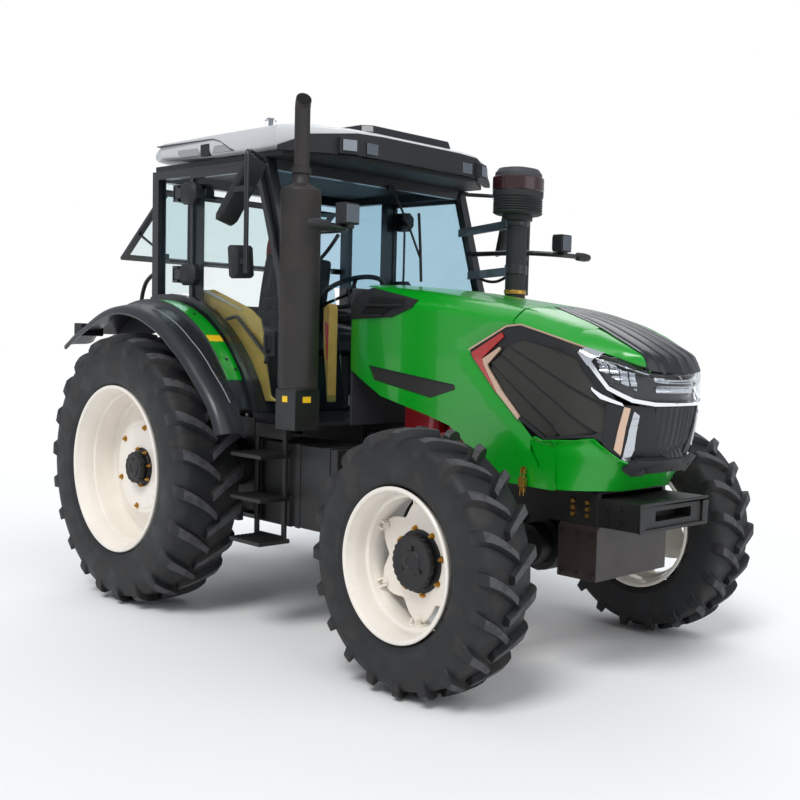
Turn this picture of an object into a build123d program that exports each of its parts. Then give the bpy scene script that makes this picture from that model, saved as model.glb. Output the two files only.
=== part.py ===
from build123d import *
import os
from math import ceil, cos, pi, radians, sin, sqrt

# Farm tractor, four-wheel drive, with an enclosed cab. Millimetres, +X forward, +Y left, +Z up.
# Everything is placed from the rear axle (x = 0), the centre plane (y = 0) and the ground (z = 0),
# and moved at export so that the origin lies on the ground under the middle of the tractor.

# ---------------------------------------------------------------- driving dimensions
WHEELBASE = 2550
HALF_TRACK = 930            # centre plane to the middle of every tyre
RUN_FIT = 0.05              # radial clearance of a shaft in its bearing
SEAT_FIT = 0.3              # gap between a piece and its seat
MOVE_GAP = 6                # least gap beside a moving piece

REAR_TYRE_R = 830
REAR_TYRE_WIDTH = 425
REAR_RIM_R = 508
REAR_RIM_HALF = 200         # half the width of the rim over its flanges
REAR_LUGS = 22              # on each side of the tread
FRONT_TYRE_R = 640
FRONT_TYRE_WIDTH = 340
FRONT_RIM_R = 368
FRONT_RIM_HALF = 170
FRONT_LUGS = 20
LUG_HEIGHT = 38

KINGPIN_Y = 740
KINGPIN_R = 24
HUB_DRUM_R = 106
AXLE_BEAM_HALF = 66         # half height and half depth of the front axle beam

HOOD_HALF = 450             # half width of the bonnet at the cab
NOSE_HALF = 430             # half width of the bonnet behind the headlamps
HOOD_REAR_X = 1420
HOOD_SEAM_X = WHEELBASE + 80
NOSE_X = WHEELBASE + 890
HOOD_WALL = 14
HOOD_SEAM = 12              # gap between the fixed cowl and the lifting nose
NOSE_HINGE = (HOOD_SEAM_X + 20, 1875)   # hinge line of the lifting nose, just ahead of the seam

CAB_HALF = 770              # outside of the pillars
PILLAR = 60
DOOR_THICK = 28
GLASS = 6
FLOOR_Z = 1200
CAB_TOP_Z = 2670
FENDER_R = 1040             # inner mudguard about the rear hub
FLARE_R = FENDER_R - 40              # outer edge of the plastic flare about the rear hub
FLARE_Y = CAB_HALF + 330

FRAME_HALF = 280            # outside of the front frame rails
LINK_LENGTH = 900           # lower link, front pin to ball
ARM_LENGTH = 400            # lift arm, and lower link front pin to lift-rod pin
MUFFLER_R = 106
EXHAUST_X, EXHAUST_Y = 1505, -(CAB_HALF + MOVE_GAP + MUFFLER_R)
CLEANER_X, CLEANER_Y = 1930, 330
CLEANER_PIPE_R = 60

LINK_X, LINK_Z = -60, 480   # front pins of the lower links
LINK_EYE_R = 44
REAR_X = LINK_X - LINK_LENGTH - LINK_EYE_R
X_MID = (NOSE_X + REAR_X) / 2
REAR_HUB = (0, REAR_TYRE_R)
FRONT_HUB = (WHEELBASE, FRONT_TYRE_R)


# ---------------------------------------------------------------- shapes used again and again
def block(x, y, z):
    """A box between the (low, high) limits on each axis."""
    spans = (x, y, z)
    return Pos(*[(a + b) / 2 for a, b in spans]) * Box(*[b - a for a, b in spans])


def side_plate(outline, y_low, y_high):
    """A plate whose outline lies in (x, z), between two y planes."""
    face = make_face(Polyline(*[(x, y_low, z) for x, z in outline], close=True))
    return extrude(face, amount=y_high - y_low, dir=(0, 1, 0))


def plan_plate(outline, z_low, z_high):
    """A plate whose outline lies in (x, y), between two heights."""
    face = make_face(Polyline(*[(x, y, z_low) for x, y in outline], close=True))
    return extrude(face, amount=z_high - z_low, dir=(0, 0, 1))


def rod(start, end, radius):
    """A round bar between two points."""
    axis = Vector(*end) - Vector(*start)
    plane = Plane(origin=start, z_dir=axis)
    return extrude(plane * Circle(radius), amount=axis.length)


def flat_rod(start, end, radius, sides=12):
    """A many-sided bar between two points, for what turns on nothing and bears nothing."""
    axis = Vector(*end) - Vector(*start)
    plane = Plane(origin=start, z_dir=axis)
    return extrude(plane * RegularPolygon(radius, sides), amount=axis.length)


def bent_tube(points, radius):
    """A tube along straight runs, mitred at each corner."""
    path = Polyline(*points)
    section = Plane(origin=points[0], z_dir=path % 0) * RegularPolygon(radius, 8)
    return sweep(section, path=path, transition=Transition.RIGHT)


ARC_STEP = 8                # degrees between the corners of a curved plate


def ring_arc(centre, radius, thick, start, end, y_low, y_high):
    """A curved plate about a cross axis, between two angles counted from +X upwards."""
    cx, cz = centre
    between = [ARC_STEP * k for k in range(start // ARC_STEP + 1, ceil(end / ARC_STEP))]
    turns = [radians(a) for a in [start] + between + [end]]
    inner = [(cx + radius * cos(a), cz + radius * sin(a)) for a in turns]
    outer = [(cx + (radius + thick) * cos(a), cz + (radius + thick) * sin(a)) for a in reversed(turns)]
    return side_plate(inner + outer, y_low, y_high)


def skin(corners, faces):
    """A solid bounded by flat faces: a four-cornered face is cut along a diagonal, any other is kept whole."""
    flats = []
    for face in faces:
        pieces = [face]
        if len(face) == 4:
            a, b, c, d = face
            pieces = [(a, b, c), (a, c, d)]
        for piece in pieces:
            flats.append(Face(Wire.make_polygon([corners[i] for i in piece], close=True)))
    return Solid(Shell(flats))


def flat_ring(profile, sides):
    """A many-sided ring about the y axis: profile points are (y, radius to the flats)."""
    n = len(profile)
    corners = []
    for k in range(sides):
        turn = 2 * pi * (k + 0.5) / sides
        for y, r in profile:
            reach = r / cos(pi / sides)
            corners.append((reach * cos(turn), y, reach * sin(turn)))
    quads = []
    for k in range(sides):
        here, there = k * n, (k + 1) % sides * n
        quads += [(here + i, here + (i + 1) % n, there + (i + 1) % n, there + i) for i in range(n)]
    return skin(corners, quads)


def wheel_ring(profile, centre, sides):
    """A many-sided ring about a wheel's axle, its profile counted outboard from the tyre's middle."""
    return Pos(centre[0], HALF_TRACK, centre[1]) * flat_ring(profile, sides)


def opposite(shape):
    return mirror(shape, about=Plane.XZ)


def pair(shape):
    """A piece on the left and its mirror image on the right, as separate solids."""
    return Compound([*shape.solids(), *opposite(shape).solids()])


def together(*shapes):
    """Separate solids that share one node."""
    return Compound([solid for shape in shapes for solid in shape.solids()])


# ---------------------------------------------------------------- tyres
# Stations along one lug, from just past the centre line to the sidewall:
# share of the half width, drop of its top below the tread, lead in the forward rolling sense,
# half width at the top, depth of its foot below the top, half width at the foot
LUG_STATIONS = (
    (-0.10, 0, 96, 21, 58, 30),
    (0.52, 5, 8, 21, 62, 32),
    (1.00, 52, -62, 27, 100, 40),
)


def tyre(radius, width, rim_r, lugs, centre):
    """A bar-tread tyre: a many-sided carcass with a flat for each pair of lugs, and leaning lugs."""
    half = width / 2
    tread = radius - LUG_HEIGHT
    bulge = rim_r + 0.42 * (tread - rim_r)
    profile = ((-0.84, rim_r + SEAT_FIT), (-1.0, bulge), (-0.86, tread - 16))
    profile += tuple((-share, r) for share, r in reversed(profile))
    body = wheel_ring([(share * half, r) for share, r in profile], centre, lugs)
    cx, cz = centre
    scale = radius / REAR_TYRE_R
    bars = []
    for k in range(2 * lugs):
        outboard = 1 if k % 2 else -1
        middle = -pi / 2 + k * pi / lugs + (LUG_STATIONS[0][2] + LUG_STATIONS[0][3]) * scale / radius
        corners = []
        for share, drop, lead, top_half, foot, foot_half in LUG_STATIONS:
            top = radius - drop * scale
            y = HALF_TRACK + outboard * share * half
            foot_y = HALF_TRACK + outboard * min(share, 0.9) * half
            for r, across, at_y in ((top, top_half, y), (top - foot * scale, foot_half, foot_y)):
                for side in (-1, 1):
                    turn = middle - (lead + side * across) * scale / radius
                    corners.append((cx + r * cos(turn), at_y, cz + r * sin(turn)))
        quads = [(0, 1, 3, 2), (8, 10, 11, 9)]
        for s in (0, 4):
            quads += [(s, s + 4, s + 5, s + 1), (s + 1, s + 5, s + 7, s + 3)]
            quads += [(s + 3, s + 7, s + 6, s + 2), (s + 2, s + 6, s + 4, s)]
        bars.append(skin(corners, quads))
    return body.fuse(*bars)


# ---------------------------------------------------------------- wheels and hubs
REAR_DISC_Y = 20            # outboard of the tyre's middle, where the disc meets the hub
FRONT_DISC_Y = 0
DISC = 14
REAR_HUB_R = 140
FRONT_HUB_R = 128
REAR_CAP_Y = 90             # outboard reach of the hub caps from the tyre's middle
FRONT_CAP_Y = 62
REAR_SEAT_Y = 700           # where the rear hubs meet the axle housing
FRONT_SEAT_Y = 806          # where the front hubs meet the knuckles
SPINDLE_R = 42
SPINDLE = 60
CAP_STEP = 14               # height of the smaller disc on a hub cap
HUB_SIDES = 16
RIM_LIP = 26                # height of the rolled edge of a rim


def rear_rim():
    """Rear wheel: barrel and dished disc in one pressing."""
    well = 446
    y, t = REAR_DISC_Y, DISC
    half, r, hub_r = REAR_RIM_HALF, REAR_RIM_R, REAR_HUB_R - 20
    profile = [
        (-half, r), (-half, r - RIM_LIP), (-60, well), (y - t, hub_r), (y, hub_r), (-40, well), (half, r - RIM_LIP),
        (half, r),
    ]
    return wheel_ring(profile, REAR_HUB, REAR_LUGS)


def front_rim():
    """Front wheel: barrel with six welded brackets, and a six-armed disc bolted to them."""
    well = 306
    half, r = FRONT_RIM_HALF, FRONT_RIM_R
    profile = [(-half, r), (-half, r - RIM_LIP), (-18, well), (18, well), (half, r - RIM_LIP), (half, r)]
    ring = wheel_ring(profile, FRONT_HUB, FRONT_LUGS)
    cx, cz = FRONT_HUB
    y = HALF_TRACK + FRONT_DISC_Y
    star = []
    for k in range(6):
        for lean, reach in ((-11, well + 4), (11, well + 4), (22, 232), (38, 232)):
            turn = radians(60 * k + 30 + lean)
            star.append((cx + reach * cos(turn), cz + reach * sin(turn)))
    disc = side_plate(star, y - DISC, y)
    disc -= flat_rod((cx, y - 2 * DISC, cz), (cx, y + DISC, cz), FRONT_HUB_R - 20, HUB_SIDES)
    return ring + disc


def hub(centre, seat_y, disc_y, disc, hub_r, cap_y):
    """Drum inboard of the disc, cap outboard of it, and a blind bore for the spindle."""
    cx, cz = centre
    face = HALF_TRACK + disc_y
    end = HALF_TRACK + cap_y
    waist = (hub_r - 20) * cos(pi / HUB_SIDES) - 2 * SEAT_FIT
    body = flat_rod((cx, seat_y + SEAT_FIT, cz), (cx, face - disc - SEAT_FIT, cz), HUB_DRUM_R, HUB_SIDES)
    body += flat_rod((cx, face - disc - SEAT_FIT, cz), (cx, end, cz), waist, HUB_SIDES)
    body += flat_rod((cx, face + SEAT_FIT, cz), (cx, end - CAP_STEP, cz), hub_r, HUB_SIDES)
    return body - rod((cx, seat_y, cz), (cx, seat_y + SPINDLE + 4, cz), SPINDLE_R + RUN_FIT)


# ---------------------------------------------------------------- front axle and knuckles
YOKE_R = 62                 # swivel housing about the kingpin
YOKE_HALF_Z = 148
EAR = 34                    # thickness of the axle's ears above and below the swivel
EAR_GAP = 1.0
SHAFT_END_X, SHAFT_END_Z = WHEELBASE - 150, 600    # input flange of the front axle


def front_axle():
    """Drive axle: beam, differential housing, and a fork with kingpin eyes at each end."""
    cx, cz = FRONT_HUB
    half = AXLE_BEAM_HALF
    back = KINGPIN_Y - YOKE_R - MOVE_GAP
    beam = block((cx - half, cx + half), (0, back), (cz - half, cz + half))
    top = YOKE_HALF_Z + EAR_GAP
    beam += block((cx - half, cx + half), (back - 46, back), (cz - top - EAR, cz + top + EAR))
    for low, high in ((top, top + EAR), (-top - EAR, -top)):
        beam += block((cx - half, cx + half), (back, KINGPIN_Y + 36), (cz + low, cz + high))
    pin = (cx, KINGPIN_Y)
    beam -= rod((*pin, cz - top - 2 * EAR), (*pin, cz + top + 2 * EAR), KINGPIN_R + RUN_FIT)
    beam += opposite(beam)
    bulge = flat_rod((cx + 20, -200, cz), (cx + 20, -110, cz), 110, 16)
    beam += flat_rod((cx + 20, -110, cz), (cx + 20, 60, cz), 150, 16) + bulge
    beam += flat_rod((SHAFT_END_X, 0, SHAFT_END_Z), (cx - 60, 0, SHAFT_END_Z), 46)
    # trunnion block that hangs the axle in the front frame
    beam += block((cx - 110, cx + 110), (-90, 90), (cz + half, RAIL_LOW - SEAT_FIT))
    return beam


def knuckle():
    """Left swivel housing with its kingpins, spindle and steering arm."""
    cx, cz = FRONT_HUB
    pin = (cx, KINGPIN_Y)
    body = flat_rod((*pin, cz - YOKE_HALF_Z), (*pin, cz + YOKE_HALF_Z), YOKE_R, 16)
    reach = YOKE_HALF_Z + EAR_GAP + EAR
    body += rod((*pin, cz - reach), (*pin, cz + reach), KINGPIN_R)
    body += flat_rod((cx, KINGPIN_Y, cz), (cx, FRONT_SEAT_Y, cz), 96, 16)
    body += rod((cx, FRONT_SEAT_Y, cz), (cx, FRONT_SEAT_Y + SPINDLE, cz), SPINDLE_R)
    arm_z = cz - 92
    body += block((cx - 190, cx - 20), (KINGPIN_Y - 4, KINGPIN_Y + 30), (arm_z - 16, arm_z + 16))
    return body


# ---------------------------------------------------------------- chassis
RAIL_LOW, RAIL_HIGH = 812, 980
RAIL_FRONT_X = WHEELBASE + 550
RAIL_WALL = 30
ENGINE_X = (1640, WHEELBASE + 150)
ENGINE_TOP = 1420


def front_frame():
    """Two rails from the engine forward, the cross plates that join them, and the axle carrier."""
    cx = WHEELBASE
    rail = block((ENGINE_X[0], RAIL_FRONT_X), (FRAME_HALF - RAIL_WALL, FRAME_HALF), (RAIL_LOW, RAIL_HIGH))
    rails = rail + opposite(rail)
    inner = FRAME_HALF - RAIL_WALL
    for low, high in ((RAIL_FRONT_X - 40, RAIL_FRONT_X), (cx - 130, cx + 130), (ENGINE_X[1] + 40, ENGINE_X[1] + 70)):
        rails += block((low, high), (-inner, inner), (RAIL_LOW, RAIL_LOW + 40))
    rails += block((ENGINE_X[1] + 70, RAIL_FRONT_X), (-inner, inner), (RAIL_HIGH - 12, RAIL_HIGH))
    return rails


WEIGHT_X = (RAIL_FRONT_X, RAIL_FRONT_X + 250)
WEIGHT_Z = (812, 950)
TOW_PIN_R = 16


def weight_bracket():
    """Front bracket for add-on weights, with a wide slot and the towing pin's holes."""
    low, high = WEIGHT_Z
    body = block(WEIGHT_X, (4 - FRAME_HALF, FRAME_HALF - 4), WEIGHT_Z)
    body -= block((WEIGHT_X[1] - 90, WEIGHT_X[1] + 10), (-150, 150), (low + 46, high - 42))
    pin_x = WEIGHT_X[1] - 45
    return body - rod((pin_x, 0, low - 10), (pin_x, 0, high + 10), TOW_PIN_R)


BOX_Z = (540, 800)


def front_box():
    """Heavy steel box hung under the front bracket."""
    x = (RAIL_FRONT_X - 240, RAIL_FRONT_X + 10)
    half = FRAME_HALF + 10
    body = block(x, (-half, half), BOX_Z)
    body -= block((x[0] - 10, x[1] - 20), (20 - half, half - 20), (BOX_Z[0] + 20, BOX_Z[1] - 20))
    body += block((x[0], x[1]), (-FRAME_HALF, FRAME_HALF), (BOX_Z[1], RAIL_LOW))
    return body


def engine():
    """The engine as one plain block on its sump, with the clutch housing behind."""
    low, high = ENGINE_X
    inner = FRAME_HALF - RAIL_WALL - 5
    body = block((low, high), (-inner, inner), (860, ENGINE_TOP))
    body += block((low + 60, WHEELBASE - 140), (-200, 200), (690, 860))
    body += block((low + 140, high - 260), (-160, 160), (ENGINE_TOP, 1600))
    return body


def radiator():
    """Cooling pack behind the nose."""
    back = WHEELBASE + 250
    core = block((back, back + 120), (-330, 330), (RAIL_HIGH, 1620))
    return core + block((back - 40, back), (-250, 250), (1060, 1560))


GEARBOX_HALF = 210
GEARBOX_TOP = 1060
AXLE_CASE_LOW, AXLE_CASE_HIGH = 520, 1130


PTO_R = 17.5
PTO_Z = 640
PTO_LENGTH = 90
SHAFT_X, SHAFT_Z = 1500, 530     # front-axle drive at the transfer case
CASE_BACK_X = -300


def power_take_off():
    """Rear power take-off shaft under its guard."""
    shaft = rod((CASE_BACK_X, 0, PTO_Z), (CASE_BACK_X - PTO_LENGTH, 0, PTO_Z), PTO_R)
    guard = block((CASE_BACK_X - 110, CASE_BACK_X), (-120, 120), (PTO_Z + 90, PTO_Z + 98))
    cheek = block((CASE_BACK_X - 110, CASE_BACK_X), (112, 120), (PTO_Z - 40, PTO_Z + 90))
    return shaft + guard + cheek + opposite(cheek)


def transmission():
    """Clutch housing, gearbox and rear axle centre as one casting, with its axle trumpets."""
    hx, hz = REAR_HUB
    body = block((180, ENGINE_X[0]), (-GEARBOX_HALF, GEARBOX_HALF), (600, GEARBOX_TOP))
    body += block((SHAFT_X - 130, SHAFT_X), (-90, 90), (SHAFT_Z - 60, 600))
    body += block((CASE_BACK_X, 180), (-250, 250), (AXLE_CASE_LOW, AXLE_CASE_HIGH))
    trumpet = flat_rod((hx, 250, hz), (hx, REAR_SEAT_Y - 70, hz), 120, 16)
    trumpet += flat_rod((hx, 250, hz), (hx, 390, hz), 165, 16)
    trumpet += flat_rod((hx, REAR_SEAT_Y - 70, hz), (hx, REAR_SEAT_Y - 20, hz), 165, 16)
    trumpet += flat_rod((hx, REAR_SEAT_Y - 20, hz), (hx, REAR_SEAT_Y, hz), 120, 16)
    trumpet += rod((hx, REAR_SEAT_Y, hz), (hx, REAR_SEAT_Y + SPINDLE, hz), SPINDLE_R)
    return body + trumpet + opposite(trumpet) + power_take_off()


DRAWBAR_HOLE_R = 16
DRAWBAR_X = -740


def drawbar():
    """Flat towing bar under the gearbox, with a pin hole at its tip."""
    z = (400, 432)
    bar = block((DRAWBAR_X - 50, 300), (-45, 45), z)
    bar -= rod((DRAWBAR_X, 0, z[0] - 5), (DRAWBAR_X, 0, z[1] + 5), DRAWBAR_HOLE_R)
    for low, high in ((-280, -230), (230, 280)):
        bar += block((low, high), (-90, 90), (z[1], 520))
    return bar


def drive_shaft():
    """Shaft in its tube from the transfer case to the front axle."""
    bar = flat_rod((SHAFT_X - 20, 0, SHAFT_Z), (SHAFT_END_X + 20, 0, SHAFT_END_Z), 32)
    return bar & block((SHAFT_X + SEAT_FIT, SHAFT_END_X - SEAT_FIT), (-50, 50), (0, 1000))


# ---------------------------------------------------------------- rear linkage
ARM_X, ARM_Z = -110, 1220   # rockshaft axis
ROCKSHAFT_R = 36
LINK_FRONT_Y, LINK_BALL_Y = 300, 412
LINK_PIN_R = 14
ROD_PIN_R = 13
BALL_R = 14.3


def link_y(reach):
    """Distance of the lower link from the centre plane, at a reach behind its front pin."""
    return LINK_FRONT_Y + (LINK_BALL_Y - LINK_FRONT_Y) * reach / LINK_LENGTH


def lower_link():
    """Left lower link: a bar with an eye at each end and the lift rod's pin."""
    x_front, x_back = LINK_X, LINK_X - LINK_LENGTH
    y_front, y_back = link_y(0), link_y(LINK_LENGTH)
    outline = [(x_front, y_front - 14), (x_front, y_front + 14), (x_back, y_back + 14), (x_back, y_back - 14)]
    body = plan_plate(outline, LINK_Z - 36, LINK_Z + 36)
    for x, y, bore in ((x_front, y_front, LINK_PIN_R + RUN_FIT), (x_back, y_back, BALL_R)):
        body += flat_rod((x, y - 22, LINK_Z), (x, y + 22, LINK_Z), LINK_EYE_R)
        body -= rod((x, y - 40, LINK_Z), (x, y + 40, LINK_Z), bore)
    rod_x, rod_y = LINK_X - ARM_LENGTH, link_y(ARM_LENGTH)
    return body + rod((rod_x, rod_y, LINK_Z), (rod_x, rod_y + 66, LINK_Z), ROD_PIN_R)


ROD_Y = link_y(ARM_LENGTH) + 42     # middle of the lift rods


def lift_arms():
    """Rockshaft across the axle housing with an arm at each end."""
    tip = ARM_X - ARM_LENGTH
    shaft = rod((ARM_X, -ROD_Y + 20, ARM_Z), (ARM_X, ROD_Y - 20, ARM_Z), ROCKSHAFT_R)
    arm = block((tip, ARM_X), (ROD_Y - 44, ROD_Y - 20), (ARM_Z - 26, ARM_Z + 26))
    arm += flat_rod((ARM_X, ROD_Y - 48, ARM_Z), (ARM_X, ROD_Y - 20, ARM_Z), 56)
    arm += flat_rod((tip, ROD_Y - 44, ARM_Z), (tip, ROD_Y - 20, ARM_Z), 34)
    arm += rod((tip, ROD_Y - 20, ARM_Z), (tip, ROD_Y + 24, ARM_Z), ROD_PIN_R)
    return shaft + arm + opposite(arm)


def lift_rod():
    """Left lift rod, hung on the lift arm's pin, its lower eye loose round the link's pin."""
    top = (ARM_X - ARM_LENGTH, ARM_Z)
    foot = (LINK_X - ARM_LENGTH, LINK_Z)
    body = flat_rod((top[0], ROD_Y, top[1]), (foot[0], ROD_Y, foot[1]), 18, 8)
    loose = flat_rod((foot[0], ROD_Y - 30, foot[1]), (foot[0], ROD_Y + 30, foot[1]), (ROD_PIN_R + 1) / cos(pi / 12))
    snug = rod((top[0], ROD_Y - 30, top[1]), (top[0], ROD_Y + 30, top[1]), ROD_PIN_R + RUN_FIT)
    for x, z in (top, foot):
        body += flat_rod((x, ROD_Y - 16, z), (x, ROD_Y + 16, z), 32)
    return body - loose - snug


def link_brackets():
    """Plates under the rear axle with the lower links' pins, and the rockshaft's bearing blocks."""
    low_y = LINK_FRONT_Y - 50
    plate = block((LINK_X - 50, LINK_X + 90), (low_y - 20, low_y + 20), (LINK_Z - 50, AXLE_CASE_LOW))
    pin = rod((LINK_X, low_y + 20, LINK_Z), (LINK_X, LINK_FRONT_Y + 36, LINK_Z), LINK_PIN_R)
    bearing = block((ARM_X - 60, ARM_X + 60), (170, 230), (AXLE_CASE_HIGH, ARM_Z + 70))
    bearing -= rod((ARM_X, 160, ARM_Z), (ARM_X, 240, ARM_Z), ROCKSHAFT_R + RUN_FIT)
    return together(pair(plate + pin), pair(bearing))


# ---------------------------------------------------------------- bonnet
def ahead(points):
    """Points whose first number is counted forward from the front axle."""
    return tuple((WHEELBASE + x, *rest) for x, *rest in points)


# Cross-sections from the cab to the nose: station, half width and height of the side's top edge,
# half width and height of the top's edge, height of the centre line
HOOD_SECTIONS = (
    (HOOD_REAR_X, HOOD_HALF, 1905, 370, 1975, 2000),
    (1930, HOOD_HALF, 1880, 370, 1945, 1966),
) + ahead((
    (80, 444, 1800, 355, 1864, 1885),
    (400, 434, 1712, 325, 1786, 1810),
    (610, 424, 1630, 295, 1708, 1737),
    (770, 410, 1566, 250, 1636, 1668),
    (930, 400, 1490, 200, 1560, 1590),
))
HOOD_FOOT_Z = 900
# Lower edge of the whole bonnet, from the cab to the chin, then the front line up to the lamps
HOOD_LOWER = ((HOOD_REAR_X - 20, 1500), (1656, 1364), (2020, 1285)) + ahead((
    (-370, 1243), (-296, 1187), (-180, 1030), (172, 983),
))
HOOD_FRONT = ahead(((680, 992), (760, 1120), (835, 1390), (890, 1430)))
# Plan of the nose from the side to the centre line
NOSE_PLAN = ahead(((510, NOSE_HALF), (700, 402), (795, 340), (855, 200), (890, 0)))
# Regions of the side, in (x, z), and of the top, in (x, y)
SEAM_LINE = ahead(((80, 2100), (80, 1800), (214, 1239), (182, 1202), (172, 900)))
GRILLE_SIDE = ahead((
    (-215, 1636), (46, 1765), (140, 1778), (399, 1718), (520, 1672), (730, 1425), (670, 1272), (490, 1237),
    (269, 1221), (194, 1240), (111, 1310), (-121, 1583),
))
LAMP_SIDE = ahead(((524, 1650), (584, 1700), (750, 1640), (950, 1610), (950, 1404), (780, 1414), (752, 1428)))
GRILLE_FRONT = ahead(((650, 1385), (950, 1385), (950, 1112), (650, 1112)))
STRIP_PLAN = ahead(((98, 130), (320, 190), (571, 215), (770, 215), (950, 215)))
HINGE_PIN_R = 4
INLAY = 8                   # depth of the lamp band and the top strip in the nose's wall


def stacked(sections):
    """A solid skinned over outlines of equal count, one after another."""
    n = len(sections[0])
    faces = [tuple(range(n)), tuple(range(n * len(sections) - n, n * len(sections)))]
    for s in range(0, n * len(sections) - n, n):
        faces += [(s + i, s + (i + 1) % n, s + n + (i + 1) % n, s + n + i) for i in range(n)]
    return skin([corner for section in sections for corner in section], faces)


def bonnet_form(inset):
    """The bonnet's outer form, or the same form inset by a wall and open below and behind."""
    sections = []
    for x, side_y, side_z, top_y, top_z, centre_z in HOOD_SECTIONS:
        side_y, top_y = side_y - inset, top_y - inset
        side_z, top_z, centre_z = side_z - inset / 2, top_z - inset, centre_z - inset
        half = [(side_y, HOOD_FOOT_Z - inset), (side_y, side_z), (top_y, top_z), (0, centre_z)]
        sections.append([(x, y, z) for y, z in half + [(-y, z) for y, z in reversed(half[:-1])]])
    front = [(HOOD_FRONT[0][0], HOOD_FOOT_Z - 50)] + list(HOOD_FRONT) + [(NOSE_X, 2200)]
    plans = []
    for front_x, z in front:
        back = NOSE_X - front_x + inset
        half = [(x - back, y - inset if y else 0) for x, y in NOSE_PLAN]
        half = [(HOOD_REAR_X - 50, 500), (half[0][0], 500)] + half
        plans.append([(x, y, z) for x, y in half + [(x, -y) for x, y in reversed(half[:-1])]])
    form = stacked(sections) & stacked(plans)
    if inset:
        return form
    lower = HOOD_LOWER + ((HOOD_FRONT[0][0] + 60, 992), (3600, 992), (3600, 2200), (HOOD_REAR_X - 20, 2200))
    return form & side_plate(lower, -500, 500)


def bonnet():
    """Cut the bonnet's shell into its fixed cowl, lifting nose, grilles, lamp band and top strip."""
    outer = bonnet_form(0)
    shell = outer - bonnet_form(HOOD_WALL)
    rind = outer - bonnet_form(INLAY)
    cowl = shell & side_plate(((0, 900), (0, 2100)) + SEAM_LINE, -500, 500)
    cowl -= flat_rod((CLEANER_X, CLEANER_Y, 1800), (CLEANER_X, CLEANER_Y, 2100), CLEANER_PIPE_R + SEAT_FIT, 16)
    for low, high in ((1700, 1740), (WHEELBASE - 70, WHEELBASE - 30)):
        cowl += block((low, high), (-436, 436), (ENGINE_TOP + SEAT_FIT, ENGINE_TOP + 30))
    ahead = tuple((x + HOOD_SEAM, z) for x, z in SEAM_LINE) + ((3600, 900), (3600, 2100))
    nose = shell & side_plate(ahead, -500, 500)
    half = list(STRIP_PLAN)
    inlays = (
        side_plate(LAMP_SIDE, -500, 500),
        plan_plate(half + [(x, -y) for x, y in reversed(half)], 1560, 2200),
    )
    lamps, strip = [nose & rind & region for region in inlays]
    strip -= inlays[0]
    nose = nose - lamps - strip
    x, z = NOSE_HINGE
    for y in (-172, 172):
        nose -= block((x - 10, x + 22), (y - 22, y + 22), (z - 40, z + 30))
        nose += flat_rod((x, y - 25, z), (x, y + 25, z), HINGE_PIN_R)
        ear = block((x - 60, x + 2), (y - 10, y + 10), (z - 30, z - 12)) + flat_rod((x, y - 10, z), (x, y + 10, z), 9)
        ear += block((x - 6, x + 6), (y - 10, y + 10), (z - 20, z))
        cowl += ear - flat_rod((x, y - 20, z), (x, y + 20, z), (HINGE_PIN_R + RUN_FIT) / cos(pi / 12))
    front_region = side_plate(GRILLE_FRONT, -350, 350)
    front_grille = nose & front_region
    side_region = side_plate(GRILLE_SIDE, 330, 500) - inlays[0] - front_region
    side_region += opposite(side_region)
    grilles = nose & side_region
    cowl_grilles = cowl & side_region
    return cowl - side_region, cowl_grilles, nose - front_region - side_region, grilles, front_grille, lamps, strip


# ---------------------------------------------------------------- cab
A_TOP, A_KNEE, A_FOOT = (1000, CAB_TOP_Z), (1215, 2000), (1350, 1300)
B_X = 280
C_X = -170
PILLAR_IN = CAB_HALF - 56
REAR_SILL_Z = REAR_TYRE_R + FENDER_R - 70


def arch_top(x, radius):
    """Height of an arc about the rear hub."""
    return REAR_TYRE_R + sqrt(radius**2 - x**2)


def bar_outline(points, width):
    """Outline of a bent bar of constant fore-and-aft width along points in (x, z)."""
    return [(x - width / 2, z) for x, z in points] + [(x + width / 2, z) for x, z in reversed(points)]


def pillar_front(z):
    """Front face of the front pillars above their knee."""
    rise = (z - A_KNEE[1]) / (A_TOP[1] - A_KNEE[1])
    return A_KNEE[0] + (A_TOP[0] - A_KNEE[0]) * rise + PILLAR / 2


def cab_frame():
    """Pillars, rails and sills of the cab, left and right, with the cross members that join them."""
    y = (PILLAR_IN, CAB_HALF)
    sill_z = (FLOOR_Z - 20, FLOOR_Z + 40)
    foot = (A_FOOT[0] + 10, FLOOR_Z - 20)
    side = side_plate(bar_outline([A_TOP, A_KNEE, A_FOOT, foot], PILLAR), *y)
    side += block((B_X - 30, B_X + 30), y, (arch_top(B_X, FENDER_R + 25), CAB_TOP_Z))
    side += block((C_X - 35, C_X + 35), y, (REAR_SILL_Z, CAB_TOP_Z))
    side += block((C_X, A_TOP[0]), y, (CAB_TOP_Z - 50, CAB_TOP_Z))
    side += block((sqrt(FENDER_R**2 - (FLOOR_Z - REAR_TYRE_R) ** 2) - 12, foot[0]), y, sill_z)
    side += ring_arc(REAR_HUB, FENDER_R, 40, 22, 102, *y) & block((-300, 1200), y, (FLOOR_Z, 2000))
    cross = block((C_X - 35, C_X + 35), (0, PILLAR_IN), (REAR_SILL_Z, REAR_SILL_Z + 60))
    cross += block((C_X - 35, C_X + 35), (0, PILLAR_IN), (CAB_TOP_Z - 60, CAB_TOP_Z))
    cross += block((A_TOP[0] - 30, A_TOP[0] + 30), (0, PILLAR_IN), (CAB_TOP_Z - 60, CAB_TOP_Z))
    half = side + cross
    return half + opposite(half)


WALL_X = 1385               # panel between the engine and the cab


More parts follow.
